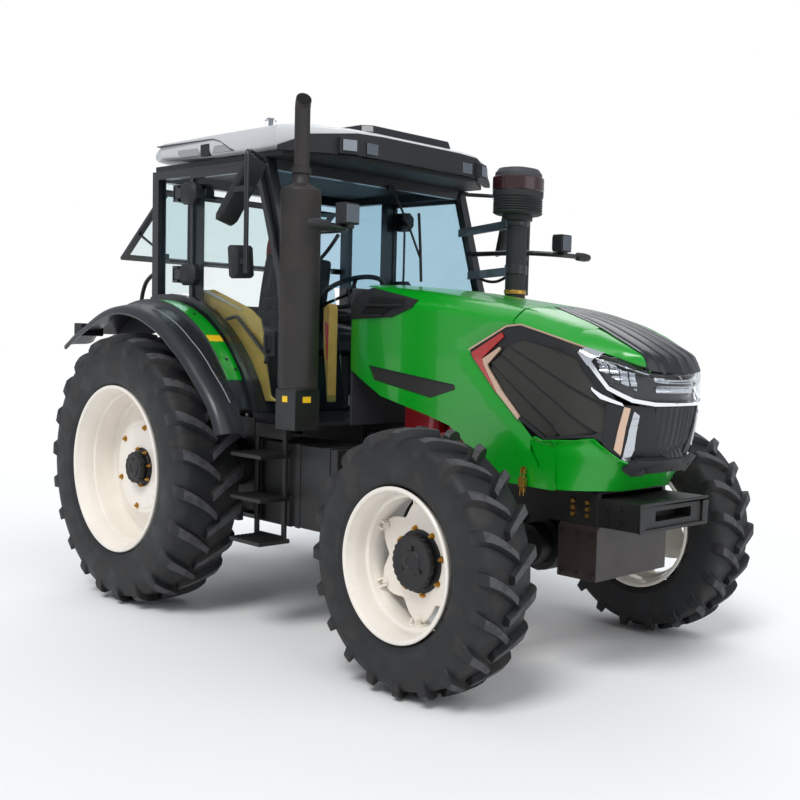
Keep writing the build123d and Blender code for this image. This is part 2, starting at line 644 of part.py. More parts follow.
def cab_floor():
    """Floor plate, the step down to the rear wall, and the wheel boxes inside the cab."""
    arch_in = 470
    floor = block((150, WALL_X - SEAT_FIT), (-PILLAR_IN, PILLAR_IN), (FLOOR_Z - 20, FLOOR_Z))
    for y in (-160, 160):
        floor += block((1180, 1300), (y - 40, y + 40), (GEARBOX_TOP + SEAT_FIT, FLOOR_Z - 20))
        floor += block((20, 120), (y - 40, y + 40), (AXLE_CASE_HIGH + SEAT_FIT, 1330))
    floor -= block((0, 900), (arch_in, 900), (0, 1300)) + block((0, 900), (-900, -arch_in), (0, 1300))
    rear = block((C_X - 20, 150), (-arch_in, arch_in), (1330, 1350))
    rear += block((150, 170), (-arch_in, arch_in), (FLOOR_Z, 1350))
    rear += block((C_X - 20, C_X), (-arch_in, arch_in), (1350, REAR_SILL_Z))
    beyond_beam = block((C_X + 36, 1200), (0, 900), (FLOOR_Z - 20, 2000))
    arch = ring_arc(REAR_HUB, FENDER_R - 22, 20, 18, 102, arch_in, PILLAR_IN) & beyond_beam
    cheek = ring_arc(REAR_HUB, 500, FENDER_R - 502, 18, 102, arch_in, arch_in + 12)
    cheek &= beyond_beam
    return floor + rear + arch + opposite(arch) + cheek + opposite(cheek)


WHEEL_AT = (840, 1960)      # centre of the steering wheel
WHEEL_HUB = 44
COLUMN_LEAN = 28            # degrees of the steering column back from upright


def dashboard():
    """Panel between the bonnet and the cab, the dash console behind it and the steering column."""
    wall = block((WALL_X, WALL_X + 20), (-440, 440), (FLOOR_Z - 20, 1960))
    foot_z = FLOOR_Z + SEAT_FIT
    outline = [(WALL_X, 1960), (1180, 1900), (1120, 1820), (1250, 1700), (1300, foot_z), (WALL_X, foot_z)]
    console = side_plate(outline, -230, 230)
    x, z = WHEEL_AT
    lean = radians(COLUMN_LEAN)
    reach = WHEEL_HUB / 2 + SEAT_FIT
    start = (x + reach * sin(lean), 0, z - reach * cos(lean))
    end = (x + 620 * sin(lean), 0, z - 620 * cos(lean))
    foot = block((WALL_X - 50, WALL_X), (-440, 440), (foot_z, foot_z + 12))
    return wall + foot + console + flat_rod(start, end, 40)


GUARD_Y = CAB_HALF + 160               # outer edge of the mudguards


def mudguards():
    """Inner mudguards, beside the cab."""
    shell = ring_arc(REAR_HUB, FENDER_R - 14, 14 - SEAT_FIT, 24, 128, CAB_HALF + SEAT_FIT, GUARD_Y)
    edge = ring_arc(REAR_HUB, FLARE_R + 12 + SEAT_FIT, FENDER_R - FLARE_R - 20, 24, 128, GUARD_Y - 14, GUARD_Y)
    return pair(shell + edge)


def flares():
    """Plastic flares outboard of the mudguards, with a turned-down lip."""
    crown = ring_arc(REAR_HUB, FLARE_R - 4, 16, 16, 132, GUARD_Y - 14, FLARE_Y)
    lip = ring_arc(REAR_HUB, FLARE_R - 52, 48, 16, 132, FLARE_Y - 14, FLARE_Y)
    return pair(crown + lip)


DOOR_R = FENDER_R + 36      # lower rear edge of the doors about the rear hub
DOOR_FOOT_Z = FLOOR_Z + 4
DOOR_OUTLINE = (
    (B_X + 8, CAB_TOP_Z - 40), (A_TOP[0] - 10, CAB_TOP_Z - 40), (A_KNEE[0], A_KNEE[1]), (1300, 1480),
    (1300, DOOR_FOOT_Z), (980, DOOR_FOOT_Z), (960, 1290), (880, arch_top(880, DOOR_R)), (700, arch_top(700, DOOR_R)),
    (500, arch_top(500, DOOR_R)), (B_X + 8, arch_top(B_X + 8, DOOR_R)),
)
DOOR_IN = CAB_HALF + 5
HINGE_X, HINGE_Y = B_X - 10, CAB_HALF + 95
DOOR_BAR = 34


def inset(outline, by):
    """The same outline moved inwards."""
    face = make_face(Polyline(*[(x, 0, z) for x, z in outline], close=True))
    return offset(face, -by, kind=Kind.INTERSECTION)


def door():
    """Left door: a frame with its hinge arms; the pane sits inside it."""
    plate = side_plate(DOOR_OUTLINE, DOOR_IN, DOOR_IN + DOOR_THICK)
    window = extrude(inset(DOOR_OUTLINE, DOOR_BAR), amount=2000, dir=(0, 1, 0))
    pane = window & side_plate(DOOR_OUTLINE, DOOR_IN + 11, DOOR_IN + 11 + GLASS)
    frame = plate - window
    for z in (2020, 2500):
        frame += block((HINGE_X - 16, B_X + 40), (DOOR_IN + DOOR_THICK, HINGE_Y + 16), (z - 30, z + 30))
        frame -= rod((HINGE_X, HINGE_Y, z - 40), (HINGE_X, HINGE_Y, z + 40), 9 + RUN_FIT)
    return frame, pane


def door_hinges():
    """Hinge brackets on the door pillars, with the pins the door arms turn on."""
    brackets = []
    for z in (2020, 2500):
        foot = CAB_HALF + SEAT_FIT
        body = block((B_X - 48, B_X - 40), (foot, HINGE_Y + 16), (z - 50, z + 50))
        body += block((B_X - 48, B_X - 6), (foot, foot + 10), (z - 50, z + 50))
        for low, high in ((-50, -34), (34, 50)):
            body += block((B_X - 48, HINGE_X + 16), (HINGE_Y - 20, HINGE_Y + 16), (z + low, z + high))
        body += rod((HINGE_X, HINGE_Y, z - 50), (HINGE_X, HINGE_Y, z + 50), 9)
        brackets.append(body)
    return pair(together(*brackets))


def windscreen():
    """Front glass in one tall pane between the front pillars, following their knee."""
    outline = bar_outline([(A_TOP[0], CAB_TOP_Z - 60), A_KNEE, (1235, 1960)], GLASS)
    upper = side_plate(outline, -PILLAR_IN, PILLAR_IN)
    low = bar_outline([(1235, 1960), (A_FOOT[0], 1300), (A_FOOT[0] + 8, FLOOR_Z)], GLASS)
    side = side_plate(low, 448, PILLAR_IN)
    return upper + side + opposite(side)


def quarter_windows():
    """Fixed side glass behind the doors."""
    foot = REAR_TYRE_R + FENDER_R + 42
    outline = [(C_X + 35, CAB_TOP_Z - 50), (B_X - 30, CAB_TOP_Z - 50), (B_X - 30, foot), (C_X + 35, foot)]
    return pair(side_plate(outline, CAB_HALF - 30, CAB_HALF - 30 + GLASS))


REAR_GLASS_TOP = (C_X - 50, CAB_TOP_Z - 100)
REAR_GLASS_LENGTH = 700
REAR_GLASS_HALF = 680
REAR_GLASS_OPEN = 53
STRUT_Y = 660


def rear_window():
    """Rear glass hung from its top edge and propped open, with its frame, hinges and gas struts."""
    x, z = REAR_GLASS_TOP
    turn = radians(REAR_GLASS_OPEN)

    def at(along, out):
        """Point on the open window: a distance below its top edge, and outwards from its middle."""
        return x - along * sin(turn) - out * cos(turn), z - along * cos(turn) + out * sin(turn)

    def slab(ends, thick, half):
        corners = [at(ends[0], -thick), at(ends[1], -thick), at(ends[1], thick), at(ends[0], thick)]
        return side_plate(corners, -half, half)

    bar = 40
    window = (bar, REAR_GLASS_LENGTH - bar)
    frame = slab((0, REAR_GLASS_LENGTH), 10, REAR_GLASS_HALF) - slab(window, 20, REAR_GLASS_HALF - bar)
    pane = slab(window, GLASS / 2, REAR_GLASS_HALF - bar)
    back = C_X - 35 - SEAT_FIT
    hinge = block((back - 24, back), (330, 390), (z - 16, CAB_TOP_Z - 10))
    strut_x, strut_z = at(430, -10)
    strut = rod((back - 12, STRUT_Y, 2150), (strut_x, STRUT_Y, strut_z), 9)
    strut += block((back - 24, back), (STRUT_Y - 10, PILLAR_IN + 20), (2130, 2170))
    return frame + hinge + opposite(hinge) + strut + opposite(strut), pane


ROOF_REAR_X, ROOF_FRONT_X = -350, 1470
ROOF_HALF = CAB_HALF + 65
ROOF_LOW = 2700


def roof_plan(grow):
    """Roof outline with cut corners; grow moves its edge outwards."""
    front, rear, half = ROOF_FRONT_X + grow, ROOF_REAR_X - grow, ROOF_HALF + grow
    quarter = [(front, 480), (1180, half), (rear + 130, half), (rear, half - 130)]
    return quarter + [(x, -y) for x, y in reversed(quarter)]


def roof():
    """Moulded roof: side band, sloping shoulder and crowned top."""
    levels = ((ROOF_LOW, -14), (2760, 0), (2840, -12), (2885, -110))
    sheets = [make_face(Polyline(*[(x, y, z) for x, y in roof_plan(grow)], close=True)) for z, grow in levels]
    return loft(sheets, ruled=True)


def roof_lining():
    """Dark underside of the roof, between the cab's top rails and the moulding."""
    return plan_plate(roof_plan(-60), CAB_TOP_Z, ROOF_LOW)


HATCH_TOP = 2925


def roof_hatch():
    """Raised dark hatch at the front of the roof."""
    sheets = []
    for z, (rear, front), half in ((2885, (760, 1330), 330), (HATCH_TOP, (800, 1270), 290)):
        corners = [(rear, -half, z), (front, -half, z), (front, half, z), (rear, half, z)]
        sheets.append(make_face(Polyline(*corners, close=True)))
    return loft(sheets, ruled=True)


def beacon():
    """Flashing beacon on its base."""
    x, y, z = 520, -400, 2885
    return flat_rod((x, y, z), (x, y, z + 26), 46) + flat_rod((x, y, z + 26), (x, y, z + 120), 34)


def seat():
    """Driver's seat: pedestal, cushion and backrest."""
    stand = block((330, 620), (-170, 170), (FLOOR_Z, 1560))
    stand += block((C_X + 180, 330), (-170, 170), (1350, 1430)) - block((0, 150), (-400, 400), (1000, 1700))
    cushion = block((240, 720), (-250, 250), (1560, 1690))
    back = side_plate([(240, 1560), (120, 2180), (230, 2180), (350, 1690)], -240, 240)
    return stand, cushion + back


def steering_wheel():
    """Three-spoke wheel on its column's axis."""
    x, z = WHEEL_AT
    grip = [(15 * cos(k * pi / 3), 200 + 15 * sin(k * pi / 3)) for k in range(6)]
    ring = Rot(90, 0, 0) * flat_ring(grip, 24) + flat_rod((0, 0, -WHEEL_HUB / 2), (0, 0, WHEEL_HUB / 2), 36)
    for turn in (90, 210, 330):
        ring += Rot(0, 0, turn) * Pos(105, 0, 0) * Box(170, 24, 12)
    return Pos(x, 0, z) * Rot(0, -COLUMN_LEAN, 0) * ring


# ---------------------------------------------------------------- what stands on the outside
MUFFLER_Z = (1400, 2450)
STACK_R = 40
STACK_TOP = 2960


def exhaust():
    """Muffler in its heat shield, the stack above it and the bracket under it."""
    x, y = EXHAUST_X, EXHAUST_Y
    body = flat_rod((x, y, MUFFLER_Z[0]), (x, y, MUFFLER_Z[1]), MUFFLER_R, 20)
    body += flat_rod((x, y, MUFFLER_Z[1]), (x, y, STACK_TOP), STACK_R)
    body -= flat_rod((x, y, MUFFLER_Z[1] + 40), (x, y, STACK_TOP + 10), STACK_R - 4)
    body += flat_rod((x, y, 2530), (x, y, 2560), STACK_R + 10)
    body += block((x - 90, x + 90), (y - 80, y + 80), (FLOOR_Z - 20, MUFFLER_Z[0]))
    return body + block((A_FOOT[0], x), (y + 60, -CAB_HALF - SEAT_FIT), (FLOOR_Z - 20, FLOOR_Z + 40))


CLEANER_HEAD_Z = (2425, 2640, 2700)


def air_cleaner():
    """Intake pipe on the bonnet with the pre-cleaner bowl on top."""
    x, y = CLEANER_X, CLEANER_Y
    low, rim, top = CLEANER_HEAD_Z
    body = flat_rod((x, y, 1880), (x, y, low), CLEANER_PIPE_R, 16)
    body += flat_rod((x, y, low - 30), (x, y, low), 90, 20)
    return body + flat_rod((x, y, low), (x, y, rim), 150, 20) + flat_rod((x, y, rim), (x, y, top), 138, 20)


MIRROR_X, MIRROR_Y = 1320, CAB_HALF + 320


def mirrors():
    """Mirror arms from the roof's front corners, each with a tall and a small mirror."""
    path = [(1000, CAB_HALF + 20, 2655), (MIRROR_X - 20, MIRROR_Y - 20, 2645), (MIRROR_X, MIRROR_Y, 2620)]
    path.append((MIRROR_X, MIRROR_Y, 2000))
    arm = bent_tube(path, 13)
    arm += block((960, 1040), (CAB_HALF + SEAT_FIT, CAB_HALF + 26), (CAB_TOP_Z - 30, CAB_TOP_Z))
    for (x, z), (w, h) in (((1240, 2440), (95, 170)), ((1250, 2060), (75, 85))):
        arm += block((x - 40, x + 20), (MIRROR_Y - w, MIRROR_Y + w * 0.5), (z - h, z + h))
        arm += block((x + 20, MIRROR_X), (MIRROR_Y - 15, MIRROR_Y + 15), (z - 20, z + 20))
    return pair(arm)


def lamp_stalks():
    """Arms ahead of the front pillars with a work lamp and an indicator each."""
    y = PILLAR_IN
    root = pillar_front(2250) + SEAT_FIT
    run = [(root + 10, y + 12, 2250), (1560, y + 8, 2245), (1660, y + 31, 2243), (1840, y + 136, 2240)]
    arm = bent_tube(run, 16)
    foot = [(pillar_front(z) + SEAT_FIT + by, z) for z, by in ((2210, 0), (2210, 14), (2290, 14), (2290, 0))]
    arm += side_plate(foot, PILLAR_IN, CAB_HALF)
    arm += flat_rod((1840, y + 136, 2240), (1850, y + 266, 2240), 14, 8)
    arm += block((1800, 1900), (y + 76, y + 176), (2256, 2366))
    arm += block((1820, 1890), (y + 246, y + 386), (2210, 2270))
    return pair(arm)


def steps():
    """Left: fuel tank with steps in front of the rear wheel; right: battery box with steps."""
    out = CAB_HALF - 10
    tank = block((960, 1700), (440, out), (620, 1080))
    side = (out + 20, out + 40)
    ladder = block((1000, 1290), side, (520, 1180)) - block((1030, 1260), (700, 900), (560, 1140))
    for z in (520, 760, 1000):
        ladder += block((1000, 1290), (out, out + 200), (z, z + 24))
    hanger = block((1000, 1290), (out, side[1]), (1100, FLOOR_Z - 20))
    return pair(tank + ladder + hanger)


def build():
    """Every sub-part by node name, still counted from the rear axle."""
    rear_tyre = tyre(REAR_TYRE_R, REAR_TYRE_WIDTH, REAR_RIM_R, REAR_LUGS, REAR_HUB)
    front_tyre = tyre(FRONT_TYRE_R, FRONT_TYRE_WIDTH, FRONT_RIM_R, FRONT_LUGS, FRONT_HUB)
    rear_hub = hub(REAR_HUB, REAR_SEAT_Y, REAR_DISC_Y, DISC, REAR_HUB_R, REAR_CAP_Y)
    front_hub = hub(FRONT_HUB, FRONT_SEAT_Y, FRONT_DISC_Y, DISC, FRONT_HUB_R, FRONT_CAP_Y)
    left = {
        "tyre_rear": rear_tyre, "rim_rear": rear_rim(), "hub_rear": rear_hub,
        "tyre_front": front_tyre, "rim_front": front_rim(), "hub_front": front_hub,
        "knuckle": knuckle(),
    }
    left["door"], left["door_glass"] = door()
    parts = {}
    for name, shape in left.items():
        parts[name + "_left"] = shape
        parts[name + "_right"] = opposite(shape)
    cowl, cowl_grilles, nose, grilles, front_grille, lamps, strip = bonnet()
    parts["bonnet_cowl"] = cowl
    parts["cowl_grilles"] = cowl_grilles
    parts["bonnet_nose"] = nose
    parts["side_grilles"] = grilles
    parts["front_grille"] = front_grille
    parts["headlamps"] = lamps
    parts["top_strip"] = strip
    parts["front_axle"] = front_axle()
    parts["front_frame"] = front_frame()
    parts["weight_bracket"] = weight_bracket()
    parts["front_box"] = front_box()
    parts["engine"] = engine()
    parts["radiator"] = radiator()
    parts["transmission"] = transmission()
    parts["drawbar"] = drawbar()
    parts["drive_shaft"] = drive_shaft()
    parts["link_brackets"] = link_brackets()
    parts["lower_links"] = pair(lower_link())
    parts["lift_arms"] = lift_arms()
    parts["lift_rods"] = pair(lift_rod())
    parts["cab_frame"] = cab_frame()
    parts["cab_floor"] = cab_floor()
    parts["dashboard"] = dashboard()
    parts["door_hinges"] = door_hinges()
    parts["windscreen"] = windscreen()
    parts["quarter_windows"] = quarter_windows()
    parts["rear_window_frame"], parts["rear_window_glass"] = rear_window()
    parts["cab_roof"] = roof()
    parts["roof_lining"] = roof_lining()
    parts["roof_hatch"] = roof_hatch()
    parts["beacon"] = beacon()
    parts["mudguards"] = mudguards()
    parts["flares"] = flares()
    parts["seat_base"], parts["seat"] = seat()
    parts["steering_wheel"] = steering_wheel()
    parts["exhaust"] = exhaust()
    parts["air_cleaner"] = air_cleaner()
    parts["mirrors"] = mirrors()
    parts["lamp_stalks"] = lamp_stalks()
    parts["steps"] = steps()
    return parts


os.makedirs("parts", exist_ok=True)
for name, shape in build().items():
    solids = [Pos(-X_MID, 0, 0) * solid for solid in shape.solids()]
    export_step(solids[0] if len(solids) == 1 else Compound(solids), "parts/" + name + ".step")
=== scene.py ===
import bpy
import bmesh
from math import atan2, cos, hypot, pi, radians, sin
from mathutils import Matrix, Vector


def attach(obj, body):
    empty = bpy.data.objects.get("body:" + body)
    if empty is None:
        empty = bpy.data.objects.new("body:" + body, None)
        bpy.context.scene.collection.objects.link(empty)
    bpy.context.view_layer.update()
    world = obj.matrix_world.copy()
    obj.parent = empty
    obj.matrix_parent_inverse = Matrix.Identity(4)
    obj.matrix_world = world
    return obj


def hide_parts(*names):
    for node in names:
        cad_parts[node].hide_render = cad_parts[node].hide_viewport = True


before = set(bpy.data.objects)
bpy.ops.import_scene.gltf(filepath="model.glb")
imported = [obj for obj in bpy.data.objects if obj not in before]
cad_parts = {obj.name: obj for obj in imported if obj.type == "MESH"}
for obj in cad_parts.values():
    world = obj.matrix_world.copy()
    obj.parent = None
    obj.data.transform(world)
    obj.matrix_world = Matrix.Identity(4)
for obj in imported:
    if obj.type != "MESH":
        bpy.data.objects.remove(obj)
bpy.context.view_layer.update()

# ---------------------------------------------------------------- camera, floor and light
# The camera stands low ahead of the right front corner, on a wide pale floor under three soft suns.
X_MID = 1.218                       # rear axle to the frame's origin, metres
CAMERA = Vector((6.4061 - X_MID, -4.4402, 1.7077))
YAW, PITCH, ROLL = 0.7067, 0.0756, 0.0364
FOCAL, CENTRE, PICTURE = 1106.2, (562.4, 424.2), 800
SENSOR = 36.0

back = Vector((sin(YAW) * cos(PITCH), -cos(YAW) * cos(PITCH), sin(PITCH)))
right = (-back).cross(Vector((0, 0, 1))).normalized()
up = right.cross(-back)
level_right = right * cos(ROLL) + up * sin(ROLL)
level_up = up * cos(ROLL) - right * sin(ROLL)
camera_data = bpy.data.cameras.new("camera")
camera_data.sensor_width = SENSOR
camera_data.lens = FOCAL / PICTURE * SENSOR
camera_data.shift_x = (PICTURE / 2 - CENTRE[0]) / PICTURE
camera_data.shift_y = (CENTRE[1] - PICTURE / 2) / PICTURE
camera = bpy.data.objects.new("camera", camera_data)
turn = Matrix((level_right, level_up, back)).transposed()
camera.matrix_world = Matrix.Translation(CAMERA) @ turn.to_4x4()
bpy.context.scene.collection.objects.link(camera)
bpy.context.scene.camera = camera
bpy.context.scene.view_settings.view_transform = "Standard"


def linear(colour):
    """An sRGB hex colour as linear RGBA."""
    parts = [int(colour[i:i + 2], 16) / 255 for i in (1, 3, 5)]
    return [c / 12.92 if c <= 0.04045 else ((c + 0.055) / 1.055) ** 2.4 for c in parts] + [1.0]


def node(tree, kind, sockets, **settings):
    """Adds a node, or takes the tree's own one, with its settings and each socket's value or link."""
    made = tree.nodes.get(kind) or tree.nodes.new("ShaderNode" + kind)
    for name, value in settings.items():
        setattr(made, name, value)
    for socket, value in sockets.items():
        if isinstance(value, bpy.types.NodeSocket):
            tree.links.new(value, made.inputs[socket])
        else:
            made.inputs[socket].default_value = value
    return made


def finish(name, colour, rough, metal=0.0, coat=0.0, mottle=0.0, size=0.2, bump=0.0, grain=0.001, worn=None):
    """A material: base colour, roughness, metal and clear coat; mottle varies colour and roughness
    over patches of a size in metres, bump raises a grain of a size, worn is (colour, share) of patches."""
    look = bpy.data.materials.new(name)
    look.use_nodes = True
    tree = look.node_tree
    surface = {"Base Color": linear(colour), "Roughness": rough, "Metallic": metal, "Coat Weight": coat,
               "Coat Roughness": 0.04}
    node(tree, "Principled BSDF", surface)
    place = node(tree, "TexCoord", {}).outputs["Object"]
    if mottle:
        cloud = node(tree, "TexNoise", {"Scale": 1 / size, "Detail": 6, "Vector": place}).outputs["Fac"]
        spread = node(tree, "MapRange", {"From Min": 0.35, "From Max": 0.65,
                                         "To Min": max(0.0, rough - mottle),
                                         "To Max": min(1.0, rough + mottle), "Value": cloud})
        other, share = worn or (colour, 0.5)
        dimmed = linear(other)
        if not worn:
            dimmed = [c * (1 - mottle) for c in dimmed[:3]] + [1.0]
        mix = node(tree, "Mix", {"A": linear(colour), "B": dimmed}, data_type="RGBA")
        patch = node(tree, "MapRange", {"From Min": 0.65 - 0.3 * share, "From Max": 0.75 - 0.3 * share,
                                        "Value": cloud})
        tree.links.new(patch.outputs["Result"], mix.inputs["Factor"])
        node(tree, "Principled BSDF", {"Roughness": spread.outputs["Result"],
                                       "Base Color": mix.outputs["Result"]})
    if bump:
        speck = node(tree, "TexNoise", {"Scale": 1 / grain, "Detail": 3, "Vector": place})
        raised = node(tree, "Bump", {"Strength": bump, "Distance": grain / 2, "Height": speck.outputs["Fac"]})
        node(tree, "Principled BSDF", {"Normal": raised.outputs["Normal"]})
    return look


HALF_FLOOR = 60.0
bm = bmesh.new()
bmesh.ops.create_grid(bm, x_segments=1, y_segments=1, size=HALF_FLOOR)
floor_mesh = bpy.data.meshes.new("floor")
bm.to_mesh(floor_mesh)
bm.free()
floor = bpy.data.objects.new("floor", floor_mesh)
bpy.context.scene.collection.objects.link(floor)
pale = finish("pale_floor", "#F6F6F5", 1.0)
node(pale.node_tree, "Principled BSDF", {"Specular IOR Level": 0.0})
floor_mesh.materials.append(pale)

# The studio gives a cool grey light from all round; seen directly, or through glass, it is white.
world = bpy.data.worlds.new("studio")
bpy.context.scene.world = world
world.use_nodes = True
tree = world.node_tree
ray = node(tree, "LightPath", {}).outputs
seen = node(tree, "Math", {0: ray["Is Camera Ray"], 1: ray["Is Transmission Ray"]}, operation="MAXIMUM")
surround = node(tree, "Background", {"Color": linear("#E2E8F0"), "Strength": 0.62})
white = tree.nodes.new("ShaderNodeBackground")
white.inputs["Color"].default_value = linear("#FFFFFF")
either = node(tree, "MixShader", {"Fac": seen.outputs["Value"], 1: surround.outputs["Background"],
                                  2: white.outputs["Background"]})
node(tree, "World Output", {"Surface": either.outputs["Shader"]})

# Name, place, strength and width in degrees: a wide key from above right, a fill ahead, a rim behind.
for name, place, strength, width in (
    ("key", (2.5, -5.5, 8.0), 1.6, 24),
    ("fill", (8.0, 1.0, 4.5), 0.7, 60),
    ("rim", (-5.0, 5.0, 6.0), 0.5, 40),
):
    data = bpy.data.lights.new(name, "SUN")
    data.energy, data.angle = strength, radians(width)
    lamp = bpy.data.objects.new(name, data)
    lamp.location = place
    lamp.rotation_euler = Vector(place).to_track_quat("Z", "Y").to_euler()
    bpy.context.scene.collection.objects.link(lamp)

# ---------------------------------------------------------------- wheels
# Bar-tread tyres of black rubber, dusty on the walls and rubbed grey on the lugs, on cream enamelled rims.
# The rear rim is one pressing with a deep dish; the front disc has six arms bolted to brackets in the barrel.
# From here on lengths are millimetres from the rear axle, the centre plane and the ground.


def at(x, y, z):
    """A point in the frame's metres."""
    return Vector((x / 1000 - X_MID, y / 1000, z / 1000))


def ribbon(bm, rings, closed=True, caps=True):
    """Joins rings of points of equal count into a skin; closed rings may get end caps."""
    loops = [[bm.verts.new(p) for p in ring] for ring in rings]
    n = len(loops[0])
    for a, b in zip(loops, loops[1:]):
        for i in range(n if closed else n - 1):
            bm.faces.new((a[i], a[(i + 1) % n], b[(i + 1) % n], b[i]))
    if caps and closed:
        bm.faces.new(loops[0])
        bm.faces.new(loops[-1])
    return bm


def drum(bm, start, end, radius, sides=24, tip=None):
    """A round bar between two points, of one radius or tapering to a tip radius."""
    a, b = at(*start), at(*end)
    axis = (b - a).normalized()
    u = axis.orthogonal().normalized()
    turn = Matrix((u.cross(axis), u, axis)).transposed().to_4x4()
    bmesh.ops.create_cone(bm, cap_ends=True, segments=sides, radius1=radius / 1000, depth=(b - a).length,
                          radius2=(radius if tip is None else tip) / 1000,
                          matrix=Matrix.Translation((a + b) / 2) @ turn)


def add(name, bm, look, body, nodes=(), edge=0.0, segments=2, both=False, crease=35):
    """Turns a mesh into a piece: faces outwards, its look, its body, the CAD nodes it stands for."""
    bmesh.ops.remove_doubles(bm, verts=bm.verts, dist=1e-5)
    if both:
        copy = bmesh.ops.duplicate(bm, geom=bm.verts[:] + bm.edges[:] + bm.faces[:])["geom"]
        for v in copy:
            if isinstance(v, bmesh.types.BMVert):
                v.co.y = -v.co.y
    bmesh.ops.recalc_face_normals(bm, faces=bm.faces)
    mesh = bpy.data.meshes.new(name)
    bm.to_mesh(mesh)
    bm.free()
    mesh.shade_smooth()
    mesh.set_sharp_from_angle(angle=radians(crease))
    mesh.materials.append(look)
    obj = bpy.data.objects.new(name, mesh)
    bpy.context.scene.collection.objects.link(obj)
    if edge:
        bevel = obj.modifiers.new("rounded_edges", "BEVEL")
        bevel.width = edge / 1000
        bevel.segments = segments
        bevel.limit_method = "ANGLE"
        bevel.angle_limit = radians(crease)
        bevel.harden_normals = True
    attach(obj, body)
    if nodes:
        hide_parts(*nodes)
    return obj


# Vulcanised rubber is matt with a dusty bloom; enamel is glossy; zinc plating has a yellow sheen.
RUBBER = finish("tyre_rubber", "#1B1C1E", 0.62, mottle=0.12, size=0.16, bump=0.25, grain=0.004,
                worn=("#302D2B", 0.35))
RUBBED = finish("rubbed_rubber", "#48484B", 0.8, mottle=0.08, size=0.05, bump=0.2, grain=0.003,
                worn=("#3A3A3D", 0.5))
CREAM = finish("cream_enamel", "#F1E9DE", 0.32, coat=0.4, mottle=0.05, size=0.3)
CASTING = finish("black_casting", "#141416", 0.5, bump=0.3, grain=0.003)
GOLD = finish("yellow_zinc_plating", "#C79A4B", 0.34, metal=1.0, mottle=0.1, size=0.02)
HALF_TRACK, WHEELBASE = 930, 2550
REAR_AXLE, FRONT_AXLE = (0, 830), (WHEELBASE, 640)   # x and height


def flip(bm):
    """The same shape on the right-hand side."""
    for v in bm.verts:
        v.co.y = -v.co.y
    return bm


def smooth_profile(points, rounds=2):
    """Rounds the corners of an open profile by cutting each corner twice."""
    for _ in range(rounds):
        fresh = [points[0]]
        for a, b in zip(points, points[1:]):
            fresh.append(tuple(p * 0.75 + q * 0.25 for p, q in zip(a, b)))
            fresh.append(tuple(p * 0.25 + q * 0.75 for p, q in zip(a, b)))
        points = fresh + [points[-1]]
    return points


def swept_ring(bm, profile_at, centre, steps):
    """A closed skin about a wheel's axle from a profile of (outboard, radius) for each angle."""
    rings = []
    for k in range(steps):
        a = 2 * pi * k / steps
        rings.append([at(centre[0] + r * cos(a), HALF_TRACK + y, centre[1] + r * sin(a)) for y,
                      r in profile_at(a)])
    return ribbon(bm, rings + rings[:1], caps=False)


def tyre(radius, width, rim_r, lugs, centre):
    """Carcass with ribbed walls and leaning bars whose tops are rubbed pale."""
    bm = bmesh.new()
    half, tread = width / 2, radius - 38
    wall = tread - rim_r
    outer = smooth_profile([(0, tread + 2), (0.5 * half, tread - 3), (0.84 * half, tread - 14),
                            (0.97 * half, tread - 0.24 * wall), (1.0 * half, tread - 0.5 * wall),
                            (0.985 * half, tread - 0.72 * wall), (0.93 * half, rim_r + 22),
                            (0.86 * half, rim_r + 4), (0.80 * half, rim_r + 1), ])
    ribbed = []
    for y, r in outer:
        level = (r - rim_r) / wall
        rise = 2.5 if 0.13 < level < 0.2 or 0.62 < level < 0.66 else 0
        ribbed.append((y + rise, r))
    profile = ribbed + [(-y, r) for y, r in reversed(ribbed[1:])]
    swept_ring(bm, lambda a: profile, centre, 120)
    scale = radius / 830
    stations = (-0.10, 0.08, 0.3, 0.55, 0.76, 0.9, 0.98, 0.998)
    tops = (2, 0, 1, 5, 14, 30, 62, 104)
    for k in range(2 * lugs):
        outboard = 1 if k % 2 else -1
        middle = -pi / 2 + k * pi / lugs + 117 * scale / radius
        rings = []
        for share, drop in zip(stations, tops):
            past = share + 0.1
            lead = (96 - 200 * past + 50 * past * past) * scale
            top_half = (22 + 12 * max(0, share)) * scale
            top = radius - drop * scale
            foot = top - (46 + 26 * max(0, share)) * scale
            foot_half = top_half + (14 + 8 * max(0, share)) * scale
            y = HALF_TRACK + outboard * share * half
            foot_y = HALF_TRACK + outboard * min(share, 0.93) * half
            ring = []
            for r, across, at_y in ((foot, -foot_half, foot_y), (top, -top_half, y), (top, top_half, y),
                                    (foot, foot_half, foot_y)):
                a = middle - (lead + across) / radius
                ring.append(at(centre[0] + r * cos(a), at_y, centre[1] + r * sin(a)))
            rings.append(ring)
        ribbon(bm, rings)
    bm.faces.ensure_lookup_table()
    bar_faces = 4 * (len(stations) - 1) + 2
    first = len(bm.faces) - 2 * lugs * bar_faces
    for k in range(2 * lugs):
        for station in range(len(stations) - 3):
            bm.faces[first + k * bar_faces + station * 4 + 1].material_index = 1
    return bm


def bolts(bm, centre, outboard, circle_r, count, phase, size, height):
    """Hexagon heads on washers around a circle, facing outboard."""
    for k in range(count):
        a = radians(phase) + 2 * pi * k / count
        x, z = centre[0] + circle_r * cos(a), centre[1] + circle_r * sin(a)
        y = HALF_TRACK + outboard
        drum(bm, (x, y - 1, z), (x, y + 3, z), size * 1.45, 16)
        drum(bm, (x, y + 2, z), (x, y + height, z), size, 6)
        drum(bm, (x, y + height - 2, z), (x, y + height + 8, z), size * 0.5, 10)
    return bm


def round_lip(half, r):
    """The rolled outer edge of a rim as (outboard, radius) points, from the bead side inwards."""
    return [(half - 16, r - 1), (half - 5, r + 1), (half, r - 4), (half, r - 14), (half - 6, r - 22)]


